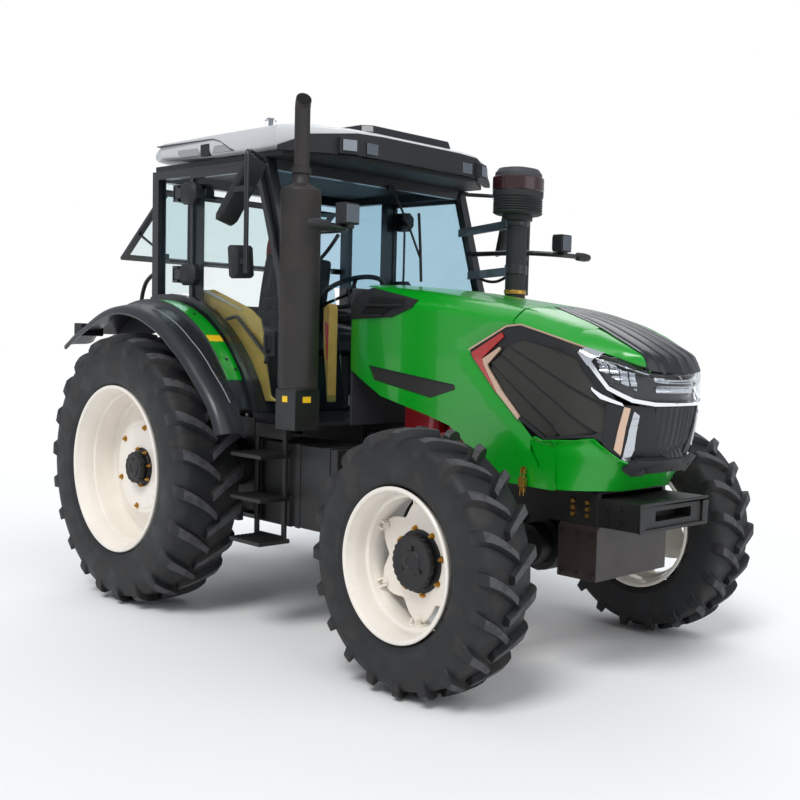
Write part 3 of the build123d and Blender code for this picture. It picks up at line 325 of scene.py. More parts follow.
def rear_rim():
    """Rim barrel and dished disc in one closed profile."""
    bm = bmesh.new()
    half, r = 199, 508
    outside = round_lip(half, r) + [
        (150, 468), (140, 464), (92, 458), (84, 449), (-34, 441), (-40, 420), (-22, 350), (6, 296), (12, 284),
        (12, 262), (16, 258), (16, 180), (10, 152), (10, 120),
    ]
    inside = [(-4, 120), (-2, 284), (-40, 360), (-62, 440), (-66, 446), (-half + 46, 462)]
    profile = outside + inside + [(-y, q) for y, q in reversed(round_lip(half, r))]
    return swept_ring(bm, lambda a: profile, REAR_AXLE, 120)


def front_rim():
    """Rim barrel with six brackets, and a disc whose edge waves between six arms."""
    bm = bmesh.new()
    half, r = 169, 368
    outside = round_lip(half, r) + [(124, 332), (114, 328), (62, 322), (52, 308), (20, 300)]
    profile = outside + [(-20, 300), (-52, 308), (-62, 322), (-114, 328), (-124, 332)]
    profile += [(-y, q) for y, q in reversed(round_lip(half, r))]
    profile += [(-140, 352), (-70, 336), (-40, 318), (40, 318), (70, 336), (140, 352)]
    centre = FRONT_AXLE
    swept_ring(bm, lambda a: profile, centre, 120)

    def star(a):
        wave = (1 + cos(6 * (a - pi / 6))) / 2
        reach = 226 + 70 * wave ** 0.7
        return [(0, 108), (0, 186), (-4, 196), (-4, reach - 6), (-8, reach), (-14, reach), (-14, 108)]
    swept_ring(bm, star, centre, 144)
    for k in range(6):
        a = radians(60 * k + 30)
        rings = []
        for y, r_low, r_high in ((-40, 262, 306), (-16, 256, 308), (-14, 256, 308)):
            corners = []
            for radius, side in ((r_low, -24), (r_low, 24), (r_high, 34), (r_high, -34)):
                corners.append(at(centre[0] + radius * cos(a) - side * sin(a), HALF_TRACK + y,
                                  centre[1] + radius * sin(a) + side * cos(a)))
            rings.append(corners)
        ribbon(bm, rings)
        for side in (-1, 1):
            rings = []
            for y, r_low in ((-2, 296), (30, 300)):
                b = a + side * 0.06
                rings.append([at(centre[0] + q * cos(b) - s * sin(b), HALF_TRACK + y,
                                 centre[1] + q * sin(b) + s * cos(b)) for q,
                              s in ((r_low - 26, -5), (r_low - 26, 5), (304, 5), (304, -5))])
            ribbon(bm, rings)
    return bm


def hub(centre, seat, face, rim_hub, cap, bolt_circle, teeth):
    """Drum behind the disc, flange, and a cap whose edge is toothed, with a stepped face and small bosses."""
    bm = bmesh.new()

    def body(a):
        edge = cap + (3 if cos(teeth * a) > 0 else -2)
        return [(seat, 1), (seat, 100), (seat + 6, 106), (face - 16, 106), (face - 15, rim_hub - 24),
                (face + 1, rim_hub - 24), (face + 1, bolt_circle - 22), (face + 9, bolt_circle - 24),
                (face + 12, cap - 16), (face + 26, cap - 18), (face + 28, edge), (face + 52, edge),
                (face + 56, cap - 8), (face + 53, cap - 22), (face + 53, 62), (face + 58, 58),
                (face + 60, 30), (face + 56, 26), (face + 56, 1), ]
    swept_ring(bm, body, centre, 8 * teeth)
    for k in range(3):
        a = radians(90 + 120 * k)
        x, z = centre[0] + cap * 0.52 * cos(a), centre[1] + cap * 0.52 * sin(a)
        drum(bm, (x, HALF_TRACK + face + 50, z), (x, HALF_TRACK + face + 61, z), 11, 16)
    return bm


for side, turn in (("left", lambda bm: bm), ("right", flip)):
    for axle, tyre_of, rim_bm, wheel_at, hub_of, bolt_sets in (
        ("rear", (830, 425, 508, 22), rear_rim, REAR_AXLE, (-228, 16, 144, 92, 128, 14),
         ((16, 250, 6, 20, 13, 12), (25, 114, 8, 10, 9, 12))),
        ("front", (640, 340, 368, 20), front_rim, FRONT_AXLE, (-122, 0, 132, 132, 176, 24),
         ((1, 158, 8, 12, 11, 14),)),
    ):
        body = f"wheel_{axle}_{side}"
        piece = add(f"{axle}_tyre_{side}", turn(tyre(*tyre_of, wheel_at)), RUBBER, body,
                    [f"tyre_{axle}_{side}"], edge=4, segments=2, crease=28)
        piece.data.materials.append(RUBBED)
        add(f"{axle}_rim_{side}", turn(rim_bm()), CREAM, body, [f"rim_{axle}_{side}"],
            edge=1.5, crease=24)
        add(f"{axle}_hub_{side}", turn(hub(wheel_at, *hub_of)), CASTING, body, [f"hub_{axle}_{side}"],
            edge=1.5)
        heads = bmesh.new()
        for outboard, circle, count, phase, size, height in bolt_sets:
            bolts(heads, wheel_at, outboard, circle, count, phase, size, height)
        add(f"{axle}_wheel_bolts_{side}", turn(heads), GOLD, body)
    add(f"front_lug_bolts_{side}", turn(bolts(bmesh.new(), FRONT_AXLE, 0, 276, 6, 30, 12, 12)), CREAM,
        f"wheel_front_{side}")


# ---------------------------------------------------------------- bonnet
# Green enamelled sheet in a fixed cowl and a lifting nose. One surface carries every panel: `along` runs
# from the middle of the nose round its corner and back along the side, `q` is the height up the side and
# then the distance over the shoulder towards the centre line.
GREEN = finish("green_enamel", "#009A1C", 0.3, coat=0.5, mottle=0.04, size=0.5)
GRAIN_BLACK = finish("grained_black_plastic", "#1C1D20", 0.6, bump=0.35, grain=0.0015)
GLOSS_BLACK = finish("glossy_black_plastic", "#10131A", 0.24, coat=0.15)
VOID = finish("shadowed_plastic", "#040405", 0.9)
MESH = finish("black_wire_mesh", "#2E2D29", 0.6, bump=1.0, grain=0.006)
CHAMPAGNE = finish("champagne_trim", "#D9B9A2", 0.28, metal=0.75)
CHROME = finish("chrome", "#F2F4F6", 0.06, metal=1.0)
RED_LENS = finish("red_lens", "#B0180C", 0.12, coat=1.0)
NOSE_START, NOSE_LENGTH, NOSE_HALF = 2950, 440, 430
SECTIONS = (                        # station, side top height, shoulder width, shoulder rise, centre height
    (1420, 1905, 80, 70, 2000), (1930, 1880, 80, 65, 1966), (2630, 1800, 89, 64, 1885),
    (2950, 1712, 109, 74, 1810),
    (3140, 1630, 129, 78, 1737), (3280, 1596, 110, 49, 1668), (3430, 1540, 50, 25, 1580),
)
CHIN = ((850, 205), (992, 170), (1110, 96), (1160, 50), (1300, 18), (1400, 6), (1430, 0), (2300, 0))


def between(table, x, column=1):
    """Linear reading of a table, held at its ends."""
    if x <= table[0][0]:
        return table[0][column]
    for a, b in zip(table, table[1:]):
        if x <= b[0]:
            f = (x - a[0]) / (b[0] - a[0])
            return a[column] * (1 - f) + b[column] * f
    return table[-1][column]


def section(x, column):
    """A section value smoothed over a short length, so that the panels bend softly."""
    return sum(between(SECTIONS, x + step, column) for step in (-80, -40, 0, 40, 80)) / 5


plan = []                           # (distance along, x, half width) from the nose's middle to the seam
for k in range(121):
    a = radians(90 * k / 120)
    point = (NOSE_START + NOSE_LENGTH * cos(a), NOSE_HALF * sin(a))
    run = plan[-1][0] + hypot(point[0] - plan[-1][1], point[1] - plan[-1][2]) if plan else 0.0
    plan.append((run, *point))
CORNER = plan[-1][0]                # where the curved nose meets the straight side
FLARE_OUT = 0.0131                  # the sides widen by this much per millimetre towards the cab


def plan_point(along, z):
    """Plan position and outward direction on the surface's side at a height."""
    if along >= CORNER:
        behind = along - CORNER
        return NOSE_START - behind, NOSE_HALF + FLARE_OUT * behind, FLARE_OUT, 1.0
    x, y = between(plan, along), between(plan, along, 2)
    x2, y2 = between(plan, along + 3), between(plan, along + 3, 2)
    x1, y1 = between(plan, max(0, along - 3)), between(plan, max(0, along - 3), 2)
    if along < 3:
        x1, y1 = x2, -y2
    length = hypot(x2 - x1, y2 - y1) or 1.0
    return x - between(CHIN, z), y, (y2 - y1) / length, -(x2 - x1) / length


def along_at(x, z=1500):
    """The distance along for a point of the side given by its x."""
    x += between(CHIN, z)
    if x <= NOSE_START:
        return CORNER + NOSE_START - x
    low, high = 0.0, CORNER
    for _ in range(30):
        mid = (low + high) / 2
        low, high = (mid, high) if between(plan, mid) > x else (low, mid)
    return low


def crown(x, y):
    """Height of the top between its shoulders."""
    half = NOSE_HALF + FLARE_OUT * (NOSE_START - min(x, NOSE_START)) - section(x, 2)
    top, middle = section(x, 1) + section(x, 3), section(x, 4)
    return middle - (middle - top) * min(1.5, abs(y) / half) ** 2


def raw_skin(along, q):
    """A point of the surface before its shoulder is rounded."""
    x, y, nx, ny = plan_point(along, q)
    side_top, wide, rise = section(x, 1), section(x, 2), section(x, 3)
    over = q - side_top
    if over <= 0:
        return Vector((x, y, q))
    slant = hypot(wide, rise)
    if over < slant:
        inward = wide * over / slant
        return Vector((x - nx * inward, y - ny * inward, side_top + rise * over / slant))
    inward = wide + over - slant
    px, py = x - nx * inward, y - ny * inward
    return Vector((px, py, crown(px, py)))


ROUND = 34                          # half width of the rounding over the shoulder


def skin(along, q, depth=0.0):
    """A point of the rounded surface, sunk by a depth along its normal, in millimetres."""
    def soft(s, t):
        total = Vector()
        for step, share in ((-1, 1), (-0.5, 2), (0, 3), (0.5, 2), (1, 1)):
            total += raw_skin(s, t + step * ROUND) * share / 9
        return total
    here = soft(along, q)
    if depth:
        normal = (soft(along + 4, q) - here).cross(soft(along, q + 4) - here)
        if normal.length:
            normal.normalize()
        if normal.y < 0 and normal.z < 0 or normal.dot(Vector((0.3, 1, 1))) < 0:
            normal = -normal
        here -= normal * depth
    return here


def fine(points, step=40, closed=True):
    """The same outline, or open line, with long edges cut into short ones."""
    result = []
    for a, b in zip(points, points[1:] + (points[:1] if closed else [])):
        count = max(1, int(hypot(b[0] - a[0], b[1] - a[1]) / step))
        result += [(a[0] + (b[0] - a[0]) * k / count, a[1] + (b[1] - a[1]) * k / count) for k in range(count)]
    return result if closed else result + points[-1:]


def clip(points, a, b, keep=1):
    """The part of an outline on one side of the line from a to b."""
    def off(p):
        return keep * ((b[0] - a[0]) * (p[1] - a[1]) - (b[1] - a[1]) * (p[0] - a[0]))
    result = []
    for p, q in zip(points, points[1:] + points[:1]):
        u, v = off(p), off(q)
        if u >= 0:
            result.append(p)
        if (u < 0) != (v < 0):
            f = u / (u - v)
            result.append((p[0] + (q[0] - p[0]) * f, p[1] + (q[1] - p[1]) * f))
    return result


def away(p, line):
    """Distance of a point from a run of straight pieces."""
    best = 1e9
    for a, b in zip(line, line[1:]):
        dx, dy = b[0] - a[0], b[1] - a[1]
        f = max(0.0, min(1.0, ((p[0] - a[0]) * dx + (p[1] - a[1]) * dy) / (dx * dx + dy * dy)))
        best = min(best, hypot(p[0] - a[0] - f * dx, p[1] - a[1] - f * dy))
    return best


def flat(outlines, cell=(30, 30), cuts=()):
    """A flat sheet of outlines, cut by a grid, and along given lines, so that it can bend."""
    bm = bmesh.new()
    for outline in outlines:
        if len(outline) > 2:
            bm.faces.new([bm.verts.new((a, b, 0)) for a, b in outline])
    bmesh.ops.remove_doubles(bm, verts=bm.verts, dist=0.05)
    bmesh.ops.triangulate(bm, faces=bm.faces[:])
    planes = [((a[0], a[1], 0), (b[1] - a[1], a[0] - b[0], 0)) for a, b in cuts]
    for axis in (0, 1):
        values = [v.co[axis] for v in bm.verts]
        step = cell[axis]
        for k in range(int(min(values) // step) + 1, int(max(values) // step) + 1):
            where, normal = [0, 0, 0], [0, 0, 0]
            where[axis], normal[axis] = k * step, 1
            planes.append((where, normal))
    for where, normal in planes:
        geometry = bm.verts[:] + bm.edges[:] + bm.faces[:]
        bmesh.ops.bisect_plane(bm, geom=geometry, dist=1e-3, plane_co=where, plane_no=normal)
    return bm


def side_outline(points, closed=True):
    """Outline given by (x, z) on the side as (along, q)."""
    return [(along_at(x, z), z) for x, z in fine(points, 40, closed)]


def q_at(x, z):
    """The q of the point over the shoulder that lies at a height."""
    low, high = 900.0, section(x, 1) + 400
    for _ in range(26):
        mid = (low + high) / 2
        low, high = (mid, high) if raw_skin(along_at(x), mid).z < z else (low, mid)
    return low


def panel(name, outlines, look, body, depth=0.0, thick=8.0, edge=2.5, nodes=(), cell=(30, 24),
          cuts=()):
    """A sheet over outlines in (along, q) on both sides, sunk by a depth, with a thickness and soft edges."""
    bm = flat(outlines, cell, cuts)
    for v in bm.verts:
        sink = depth(v.co.x, v.co.y) if callable(depth) else depth
        p = skin(v.co.x, v.co.y, sink)
        v.co = at(*p)
    return sheet(name, bm, look, body, thick, edge, nodes)


def sheet(name, bm, look, body, thick, edge, nodes=(), both=True):
    """Gives a bent sheet its thickness towards the inside and mirrors it to the other side."""
    bmesh.ops.remove_doubles(bm, verts=bm.verts, dist=1e-5)
    bmesh.ops.recalc_face_normals(bm, faces=bm.faces)
    outward = sum((f.normal.dot(Vector((0.5, 1, 1))) * f.calc_area() for f in bm.faces), 0.0)
    if outward < 0:
        bmesh.ops.reverse_faces(bm, faces=bm.faces)
    if both:
        copy = bmesh.ops.duplicate(bm, geom=bm.verts[:] + bm.edges[:] + bm.faces[:])["geom"]
        for v in copy:
            if isinstance(v, bmesh.types.BMVert):
                v.co.y = -v.co.y
        bmesh.ops.reverse_faces(bm, faces=[f for f in copy if isinstance(f, bmesh.types.BMFace)])
    mesh = bpy.data.meshes.new(name)
    bm.to_mesh(mesh)
    bm.free()
    mesh.shade_smooth()
    mesh.materials.append(look)
    obj = bpy.data.objects.new(name, mesh)
    bpy.context.scene.collection.objects.link(obj)
    wall = obj.modifiers.new("wall", "SOLIDIFY")
    wall.thickness = thick / 1000
    wall.offset = -1
    if edge:
        bevel = obj.modifiers.new("soft_edges", "BEVEL")
        bevel.width = edge / 1000
        bevel.segments = 2
        bevel.limit_method = "ANGLE"
        bevel.angle_limit = radians(50)
        bevel.harden_normals = True
    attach(obj, body)
    if nodes:
        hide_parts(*nodes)
    return obj


TOP_SEAM_Y = 330


def q_top(along, y_edge):
    """The q at which the surface, followed inwards, reaches a distance from the centre line."""
    low, high = section(plan_point(along, 1600)[0], 1), 3000
    for _ in range(24):
        mid = (low + high) / 2
        low, high = (mid, high) if raw_skin(along, mid).y > y_edge(raw_skin(along, mid).x) else (low, mid)
    return low


# The side of the cowl runs up over the shoulder to a seam; the top is a sheet of its own. The edge round the
# dark grille is pressed inwards behind a crease, and a long dark recess lies in the side.
SEAM = [(2630, 1800), (2764, 1239)]
grille_rim = [(2744, 1222), (2672, 1308), (2530, 1432), (2345, 1612), (2338, 1640), (2596, 1770),
              (2632, 1776)]
RECESS = [(1555, 1531), (2243, 1458), (2250, 1432), (2055, 1377), (1600, 1450)]
lower_side = [(1405, 1500), (1656, 1364), (2020, 1285), (2180, 1243), (2254, 1187), (2370, 1030), (2450, 990),
              (2722, 983), (2732, 1202)] + grille_rim[:3] + [RECESS[2], RECESS[3], RECESS[4], RECESS[0]]
crest = [(x, q_top(along_at(x), lambda _: TOP_SEAM_Y + 3)) for x in (2630, 2500, 2350, 2150, 1930, 1750, 1600,
                                                                     1500)]
VENT = [(1405, 1784), (1742, 1799), (1910, 1855), (1936, q_at(1936, 1892)), (1500, q_at(1500, 1962)),
        (1405, 1862)]
upper_side = [RECESS[0], RECESS[1], RECESS[2]] + grille_rim[2:] + crest + VENT[4:0:-1] + [VENT[0],
                                                                                          (1405, 1500)]
rim_line = side_outline(grille_rim[:6], closed=False)


def pressed(along, q):
    """Depth of the crease round the grille: the edge sinks over its last stretch."""
    return 16 * max(0.0, 1 - away((along, q), rim_line) / 62)


crease = [(along_at(2275, 1602), 1602), (along_at(2647, 1329), 1329)]
panel("cowl_side", [side_outline(lower_side), side_outline(upper_side)], GREEN, "chassis", depth=pressed,
      nodes=["bonnet_cowl"], cell=(40, 16), cuts=[crease])
panel("side_recess", [side_outline([(1548, 1536), (2250, 1463), (2258, 1430), (2056, 1370), (1594, 1444)])],
      finish("smoke_black_plastic", "#2A2A28", 0.45, bump=0.15, grain=0.002), "chassis", depth=9, thick=4)

# The cowl's top is one sheet on the crown between the two seams.
bm = flat([[(1405, -TOP_SEAM_Y), (2630, -TOP_SEAM_Y), (2630, TOP_SEAM_Y), (1405, TOP_SEAM_Y)]], (60, 40))
for v in bm.verts:
    v.co = at(v.co.x, v.co.y, crown(v.co.x, v.co.y))
sheet("cowl_top", bm, GREEN, "chassis", 8, 2.5, both=False)
strip_edge = [(2648, 130), (2870, 190), (3121, 215), (3280, 218), (3430, 218)]


def strip_y(x):
    """Half width of the black strip."""
    return between(strip_edge, x)


# The nose: green from the strip over the shoulder and down round the mesh, with a narrow chin.
rim_alongs = [along_at(x) for x in range(2642, 3061, 22)]
strip_side = [(s, q_top(s, lambda x: strip_y(x) + 4)) for s in rim_alongs]
lamp_top = side_outline([(3060, 1703), (2950, 1722), (2690, 1783), (2642, 1785)], closed=False)
panel("nose_shoulder", [strip_side + lamp_top], GREEN, "nose", nodes=["bonnet_nose"],
      cell=(24, 16))
front_low = along_at(3197, 1000)
ledge = [(3256, 1118), (3132, 1248), (3048, 1232), (2822, 1219), (2776, 1236), (2744, 1205)]
chin = side_outline([(2734, 983), (2980, 985), (3170, 990)], closed=False) + [(front_low * 0.5, 1000),
                                                                              (0, 1006), (0, 1110)]
chin += [(180, 1112)] + side_outline(ledge, closed=False)
ledge_line = side_outline(ledge, closed=False)


def ledge_press(along, q):
    """The chin stands out in a narrow ledge under the mesh."""
    return -10 * max(0.0, 1 - away((along, q), ledge_line) / 16)


panel("seam_strip", [side_outline([(2690, 985), (2690, 1212), (2778, 1212), (2764, 985)])], GREEN, "chassis",
      depth=20, thick=4, edge=0)
panel("nose_chin", [chin], GREEN, "nose", depth=ledge_press, cell=(24, 14))

# Dark frame round the mesh, its slats, the trims and the red lamp: moulded plastic and wire cloth.
OUTER = [(2345, 1640), (2596, 1766), (2690, 1779), (2950, 1718), (3058, 1690), (3104, 1590), (3192, 1487),
         (3254, 1400), (3224, 1200), (3129, 1252), (2822, 1224), (2680, 1308), (2538, 1432), (2352, 1612)]
INNER = [(2476, 1575), (2610, 1672), (2700, 1702), (2930, 1665), (3035, 1630), (3079, 1570), (3163, 1470),
         (3205, 1395), (3186, 1290), (3124, 1266), (2835, 1238), (2700, 1322), (2570, 1450), (2482, 1560)]
outer_line = [(along_at(x, z), z) for x, z in fine(OUTER + OUTER[:1], 60, closed=False)]


def frame_depth(along, q):
    """The frame slopes inwards from its outer edge."""
    return 6 + 0.22 * min(70, away((along, q), outer_line))


for name, body, keep in (("cowl", "chassis", -1), ("nose", "nose", 1)):
    quads = []
    for i in range(len(OUTER)):
        j = (i + 1) % len(OUTER)
        quads.append(side_outline(clip([OUTER[i], OUTER[j], INNER[j], INNER[i]], *SEAM, keep)))
    panel(f"{name}_grille_frame", [q for q in quads if len(q) > 2], GRAIN_BLACK, body, depth=frame_depth,
          thick=10, nodes=["cowl_grilles"] if body == "chassis" else ["side_grilles"],
          cell=(30, 30))
    # Slat edges fan out from the rear; each is given by two points of the side.
    slats = [((2500, 1790), (3258, 1700)), ((2727, 1707), (3121, 1622)), ((2610, 1672), (3205, 1405)),
             ((2541, 1640), (3163, 1268)), ((2490, 1583), (2985, 1236)), ((2480, 1500), (2740, 1236)),
             ((2380, 1300), (2500, 1100))]
    for i, (top, low) in enumerate(zip(slats, slats[1:])):
        cell_outline = clip(clip(clip(INNER, *SEAM, keep), *top, -1), *low, 1)
        if len(cell_outline) < 3:
            continue
        low_line = [(along_at(x, z), z) for x, z in low]
        panel(f"{name}_mesh_{i}", [side_outline(cell_outline)], MESH, body, depth=lambda a,
              q: 12 + 0.16 * min(110, away((a, q), low_line)), thick=5, edge=1.5, cell=(60, 60))


BACKING = [(2320, 1640), (2600, 1760), (2950, 1712), (3090, 1600), (3190, 1440), (3150, 1216), (2822, 1196),
           (2740, 1190), (2640, 1288), (2505, 1418)]
for body, keep in (("chassis", -1), ("nose", 1)):
    panel(f"grille_backing_{body}", [side_outline(clip(BACKING, *SEAM, keep))], GRAIN_BLACK, body, depth=48,
          thick=3, edge=0, cell=(60, 60))


def line_strip(points, width):
    """A narrow outline along a line in (x, z), its width measured downwards."""
    return points + [(x, z - width) for x, z in reversed(points)]


brim = [(2340, 1648), (2596, 1773), (2690, 1786)]
for name, line, body, keep in (("upper_trim", brim + [(2950, 1726), (3077, 1700)], "nose", 1),
                               ("upper_trim_rear", brim, "chassis", -1)):
    panel(name, [side_outline(clip(line_strip(line, 10), *SEAM, keep))], CHAMPAGNE, body, depth=-1.5, thick=6,
          edge=1.5)
panel("inner_trim", [side_outline([(2436, 1600), (2552, 1664), (2562, 1652), (2474, 1574), (2482, 1556),
                                   (2576, 1448), (2690, 1326), (2674, 1308), (2545, 1432), (2446, 1572)])],
      CHAMPAGNE, "chassis", depth=1, thick=10)
panel("side_marker", [side_outline([(2356, 1630), (2562, 1736), (2578, 1715), (2432, 1604), (2440, 1586),
                                    (2556, 1442), (2538, 1434), (2366, 1606)])], RED_LENS, "chassis", depth=2,
      thick=8)

# Headlamps: chrome beak and lower blade, silver blocks behind one clear lens that runs round the front.


def glazing(name, tint, rough, ior, specular):
    """A clear material that is only tinted by what passes through."""
    look = bpy.data.materials.new(name)
    look.use_nodes = True
    node(look.node_tree, "Principled BSDF", {"Base Color": (*tint, 1), "Roughness": rough,
                                             "Transmission Weight": 1.0, "IOR": ior,
                                             "Specular IOR Level": specular})
    return look


LENS = glazing("clear_lens", (0.93, 0.95, 0.97), 0.02, 1.3, 0.5)
SILVER = finish("silvered_reflector", "#C6C9CE", 0.18, metal=0.9)
LAMP_LOW = [(3103, 1598), (3195, 1490), (3286, 1437), (3341, 1420)]
lens = side_outline([(3112, 1600), (3129, 1668), (3238, 1668), (3339, 1606), (3367, 1590)], closed=False)
lens = [(0, 1586)] + lens[::-1] + side_outline(LAMP_LOW[1:] + [(3356, 1418)], closed=False) + [(0, 1418)]
panel("headlamp_lens", [lens], LENS, "nose", depth=2, thick=4, edge=1, nodes=["headlamps"],
      cell=(20, 16))
panel("headlamp_back", [lens], GLOSS_BLACK, "nose", depth=46, thick=4, edge=0, cell=(20, 16))
beak = side_outline([(3050, 1655), (3080, 1697), (3171, 1682), (3138, 1650), (3111, 1598), (3103, 1592)])
panel("lamp_beak", [beak], CHROME, "nose", depth=-4, thick=16)
blade = side_outline([(3097, 1606), (3121, 1612), (3198, 1500), (3288, 1446), (3348, 1430)], closed=False)
blade += [(0, 1427), (0, 1414)] + side_outline([(3344, 1412), (3282, 1428), (3190, 1484)], closed=False)
panel("lamp_blade", [blade], CHROME, "nose", depth=-3, thick=14, cell=(16, 14))
whisker = side_outline([(3121, 1494), (3171, 1462), (3249, 1424), (3254, 1408), (3163, 1440), (3124, 1478)])
panel("lamp_whisker", [whisker], CHROME, "nose", depth=-2, thick=8)
blocks = []
for x0, x1, z0, z1 in ((3140, 3182, 1556, 1640), (3190, 3226, 1526, 1630), (3232, 3262, 1500, 1600),
                       (3268, 3290, 1480, 1586)):
    blocks.append(side_outline([(x0, z1), (x1, z1 - 12), (x1 + 12, z0), (x0 + 12, z0 + 16)]))
blocks.append([(0, 1550), (186, 1552), (180, 1528), (0, 1526)])
blocks.append([(0, 1500), (174, 1502), (168, 1474), (0, 1472)])
panel("lamp_blocks", blocks, SILVER, "nose", depth=lambda a, q: 30 + 10 * sin(q / 9), thick=6, cell=(10, 8))
panel("lamp_brow", [side_outline([(3138, 1662), (3238, 1660), (3339, 1598), (3336, 1590), (3233, 1646),
                                  (3143, 1650)])], SILVER, "nose", depth=22, thick=6)

# Front: running lamps beside an upright ribbed grille, with a slotted lip under it.
panel("lamp_post", [side_outline([(3189, 1418), (3346, 1406), (3330, 1130), (3262, 1096), (3212, 1112),
                                  (3168, 1224)])], GRAIN_BLACK, "nose", depth=7, thick=12,
      cell=(16, 30))
panel("running_lamp_trim", [side_outline([(3254, 1406), (3276, 1400), (3231, 1170), (3208, 1200)])],
      CHAMPAGNE, "nose", depth=-1, thick=12)
panel("running_lamp", [side_outline([(3286, 1386), (3302, 1366), (3274, 1200), (3248, 1124), (3232, 1154),
                                     (3258, 1254)])], SILVER, "nose", depth=lambda a,
      q: -2 + 5 * abs((q / 34) % 1 - 0.5), thick=14, cell=(12, 8.5))
grille_top, grille_foot = along_at(3301, 1362), along_at(3272, 1158)
panel("front_grille_ribs", [[(0, 1414), (grille_top + 6, 1414), (grille_foot, 1134), (0, 1134)]], GLOSS_BLACK,
      "nose", depth=lambda a, q: 22 - 10 * max(0.0, cos(2 * pi * a / 42)), thick=6, edge=0,
      nodes=["front_grille"], cell=(5.25, 40))
panel("lip", [[(0, 1166), (grille_foot, 1166), (along_at(3212, 1116), 1116), (along_at(3224, 1088), 1088),
               (150, 1096), (0, 1104)]], GRAIN_BLACK, "nose", depth=-5, thick=34, edge=5, cell=(20, 14))
panel("lip_slot", [[(0, 1150), (112, 1150), (102, 1126), (0, 1126)]], VOID, "nose", depth=-8, thick=4, edge=0,
      cell=(20, 10))

# The black strip on top has five raised ribs that run together to the rear; its front rolls down to the lens.
STRIP_FRONT = ((0, 3368), (110, 3358), (205, 3326))
bm = bmesh.new()
grid = []
for i in range(37):
    row = []
    for j in range(81):
        u = j / 40 - 1
        x = 2650 + (between(STRIP_FRONT, abs(u) * 205) - 2650) * i / 36
        y = u * strip_y(x)
        rib = max(0.0, cos(5 * pi * u)) ** 0.5 * min(1.0, (x - 2650) / 160)
        roll = max(0.0, 1 - (between(STRIP_FRONT, abs(u) * 205) - x) / 48) ** 1.6
        row.append(bm.verts.new(at(x, y, crown(x, y) + 3 + 6 * rib * (1 - roll) - 54 * roll)))
    grid.append(row)
for i in range(36):
    for j in range(80):
        bm.faces.new((grid[i][j], grid[i + 1][j], grid[i + 1][j + 1], grid[i][j + 1]))
sheet("ribbed_strip", bm, GLOSS_BLACK, "nose", 32, 2, ["top_strip"], both=False)

# The shoulder's front corner is one curved sheet between the strip's edge and the top of the lamp.
LAMP_EDGE = ((2950, 1722), (3080, 1700), (3186, 1680), (3238, 1668), (3324, 1614), (3331, 1606))
first = along_at(3000)
rows = []
for i in range(29):
    x = 3000 + 326 * i / 28
    lamp_x = 3000 + 331 * i / 28
    under = Vector((0, 2, 3)) * max(0.0, 1 - (x - 3000) / 60)
    roll = max(0.0, 1 - (3326 - x) / 48) ** 1.6
    high = Vector((x, strip_y(x) - 2, crown(x, strip_y(x)) - 4 - 54 * roll))
    low = skin(along_at(lamp_x, between(LAMP_EDGE, lamp_x)), between(LAMP_EDGE, lamp_x))
    if not rows:
        middle = skin(first, (q_top(first, strip_y) + low.z) / 2) * 2 - (high + low) / 2
        out, down = (middle.y - high.y) / (low.y - high.y), (middle.z - high.z) / (low.z - high.z)
    bend = Vector(((high.x + low.x) / 2, high.y + (low.y - high.y) * out, high.z + (low.z - high.z) * down))
    rows.append([high * (1 - t) ** 2 + bend * 2 * t * (1 - t) + low * t ** 2 - under
                 for t in [k / 10 for k in range(11)]])
bm = bmesh.new()
ribbon(bm, [[at(*p) for p in row] for row in rows], caps=False, closed=False)
sheet("shoulder_corner", bm, GREEN, "nose", 8, 1)

# Louvred vent at the cowl's rear shoulder: a black housing whose two openings lie behind raised lips.
panel("vent_housing", [side_outline(VENT)], GRAIN_BLACK, "chassis", depth=-7, thick=26, edge=5)
for i, run in enumerate((
    [(1556, q_at(1556, 1912)), (1851, q_at(1851, 1894)), (1840, q_at(1840, 1866)), (1540, q_at(1540, 1868))],
    [(1535, 1858), (1773, 1850), (1682, 1812), (1488, 1810)],
)):
    panel(f"vent_opening_{i}", [side_outline(run)], VOID, "chassis", depth=-9, thick=3, edge=0)
    lower = run[:1:-1]
    lip = [(x, q - 9) for x, q in lower] + [(x, q + 3) for x, q in reversed(lower)]
    panel(f"vent_lip_{i}", [side_outline(lip)], GRAIN_BLACK, "chassis", depth=-20, thick=14, edge=3)

# Draw latch of yellow-zinc steel at the seam's foot, and bolts on the frame rail.


def box(bm, x, y, z):
    """A block between two limits on each axis, in millimetres."""
    outline = [(x[0], y[0]), (x[1], y[0]), (x[1], y[1]), (x[0], y[1])]
    ribbon(bm, [[at(a, b, c) for a, b in outline] for c in z])


bm = bmesh.new()
for z0, z1, w in ((1080, 1110, 13), (1012, 1060, 19), (985, 1008, 12)):
    box(bm, (2762 - w, 2762 + w), (444, 458 if w < 15 else 470), (z0 - 28, z1 - 28))
for dx in (-11, 11):
    drum(bm, (2762 + dx, 462, 940), (2762 + dx, 462, 1070), 3, 8)
for z in (860, 892, 924):
    drum(bm, (2950, 281, z), (2950, 296, z), 13, 6)
    drum(bm, (3040, 281, z), (3040, 296, z), 11, 6)
add("latches_and_bolts", bm, GOLD, "chassis", edge=1, both=True)


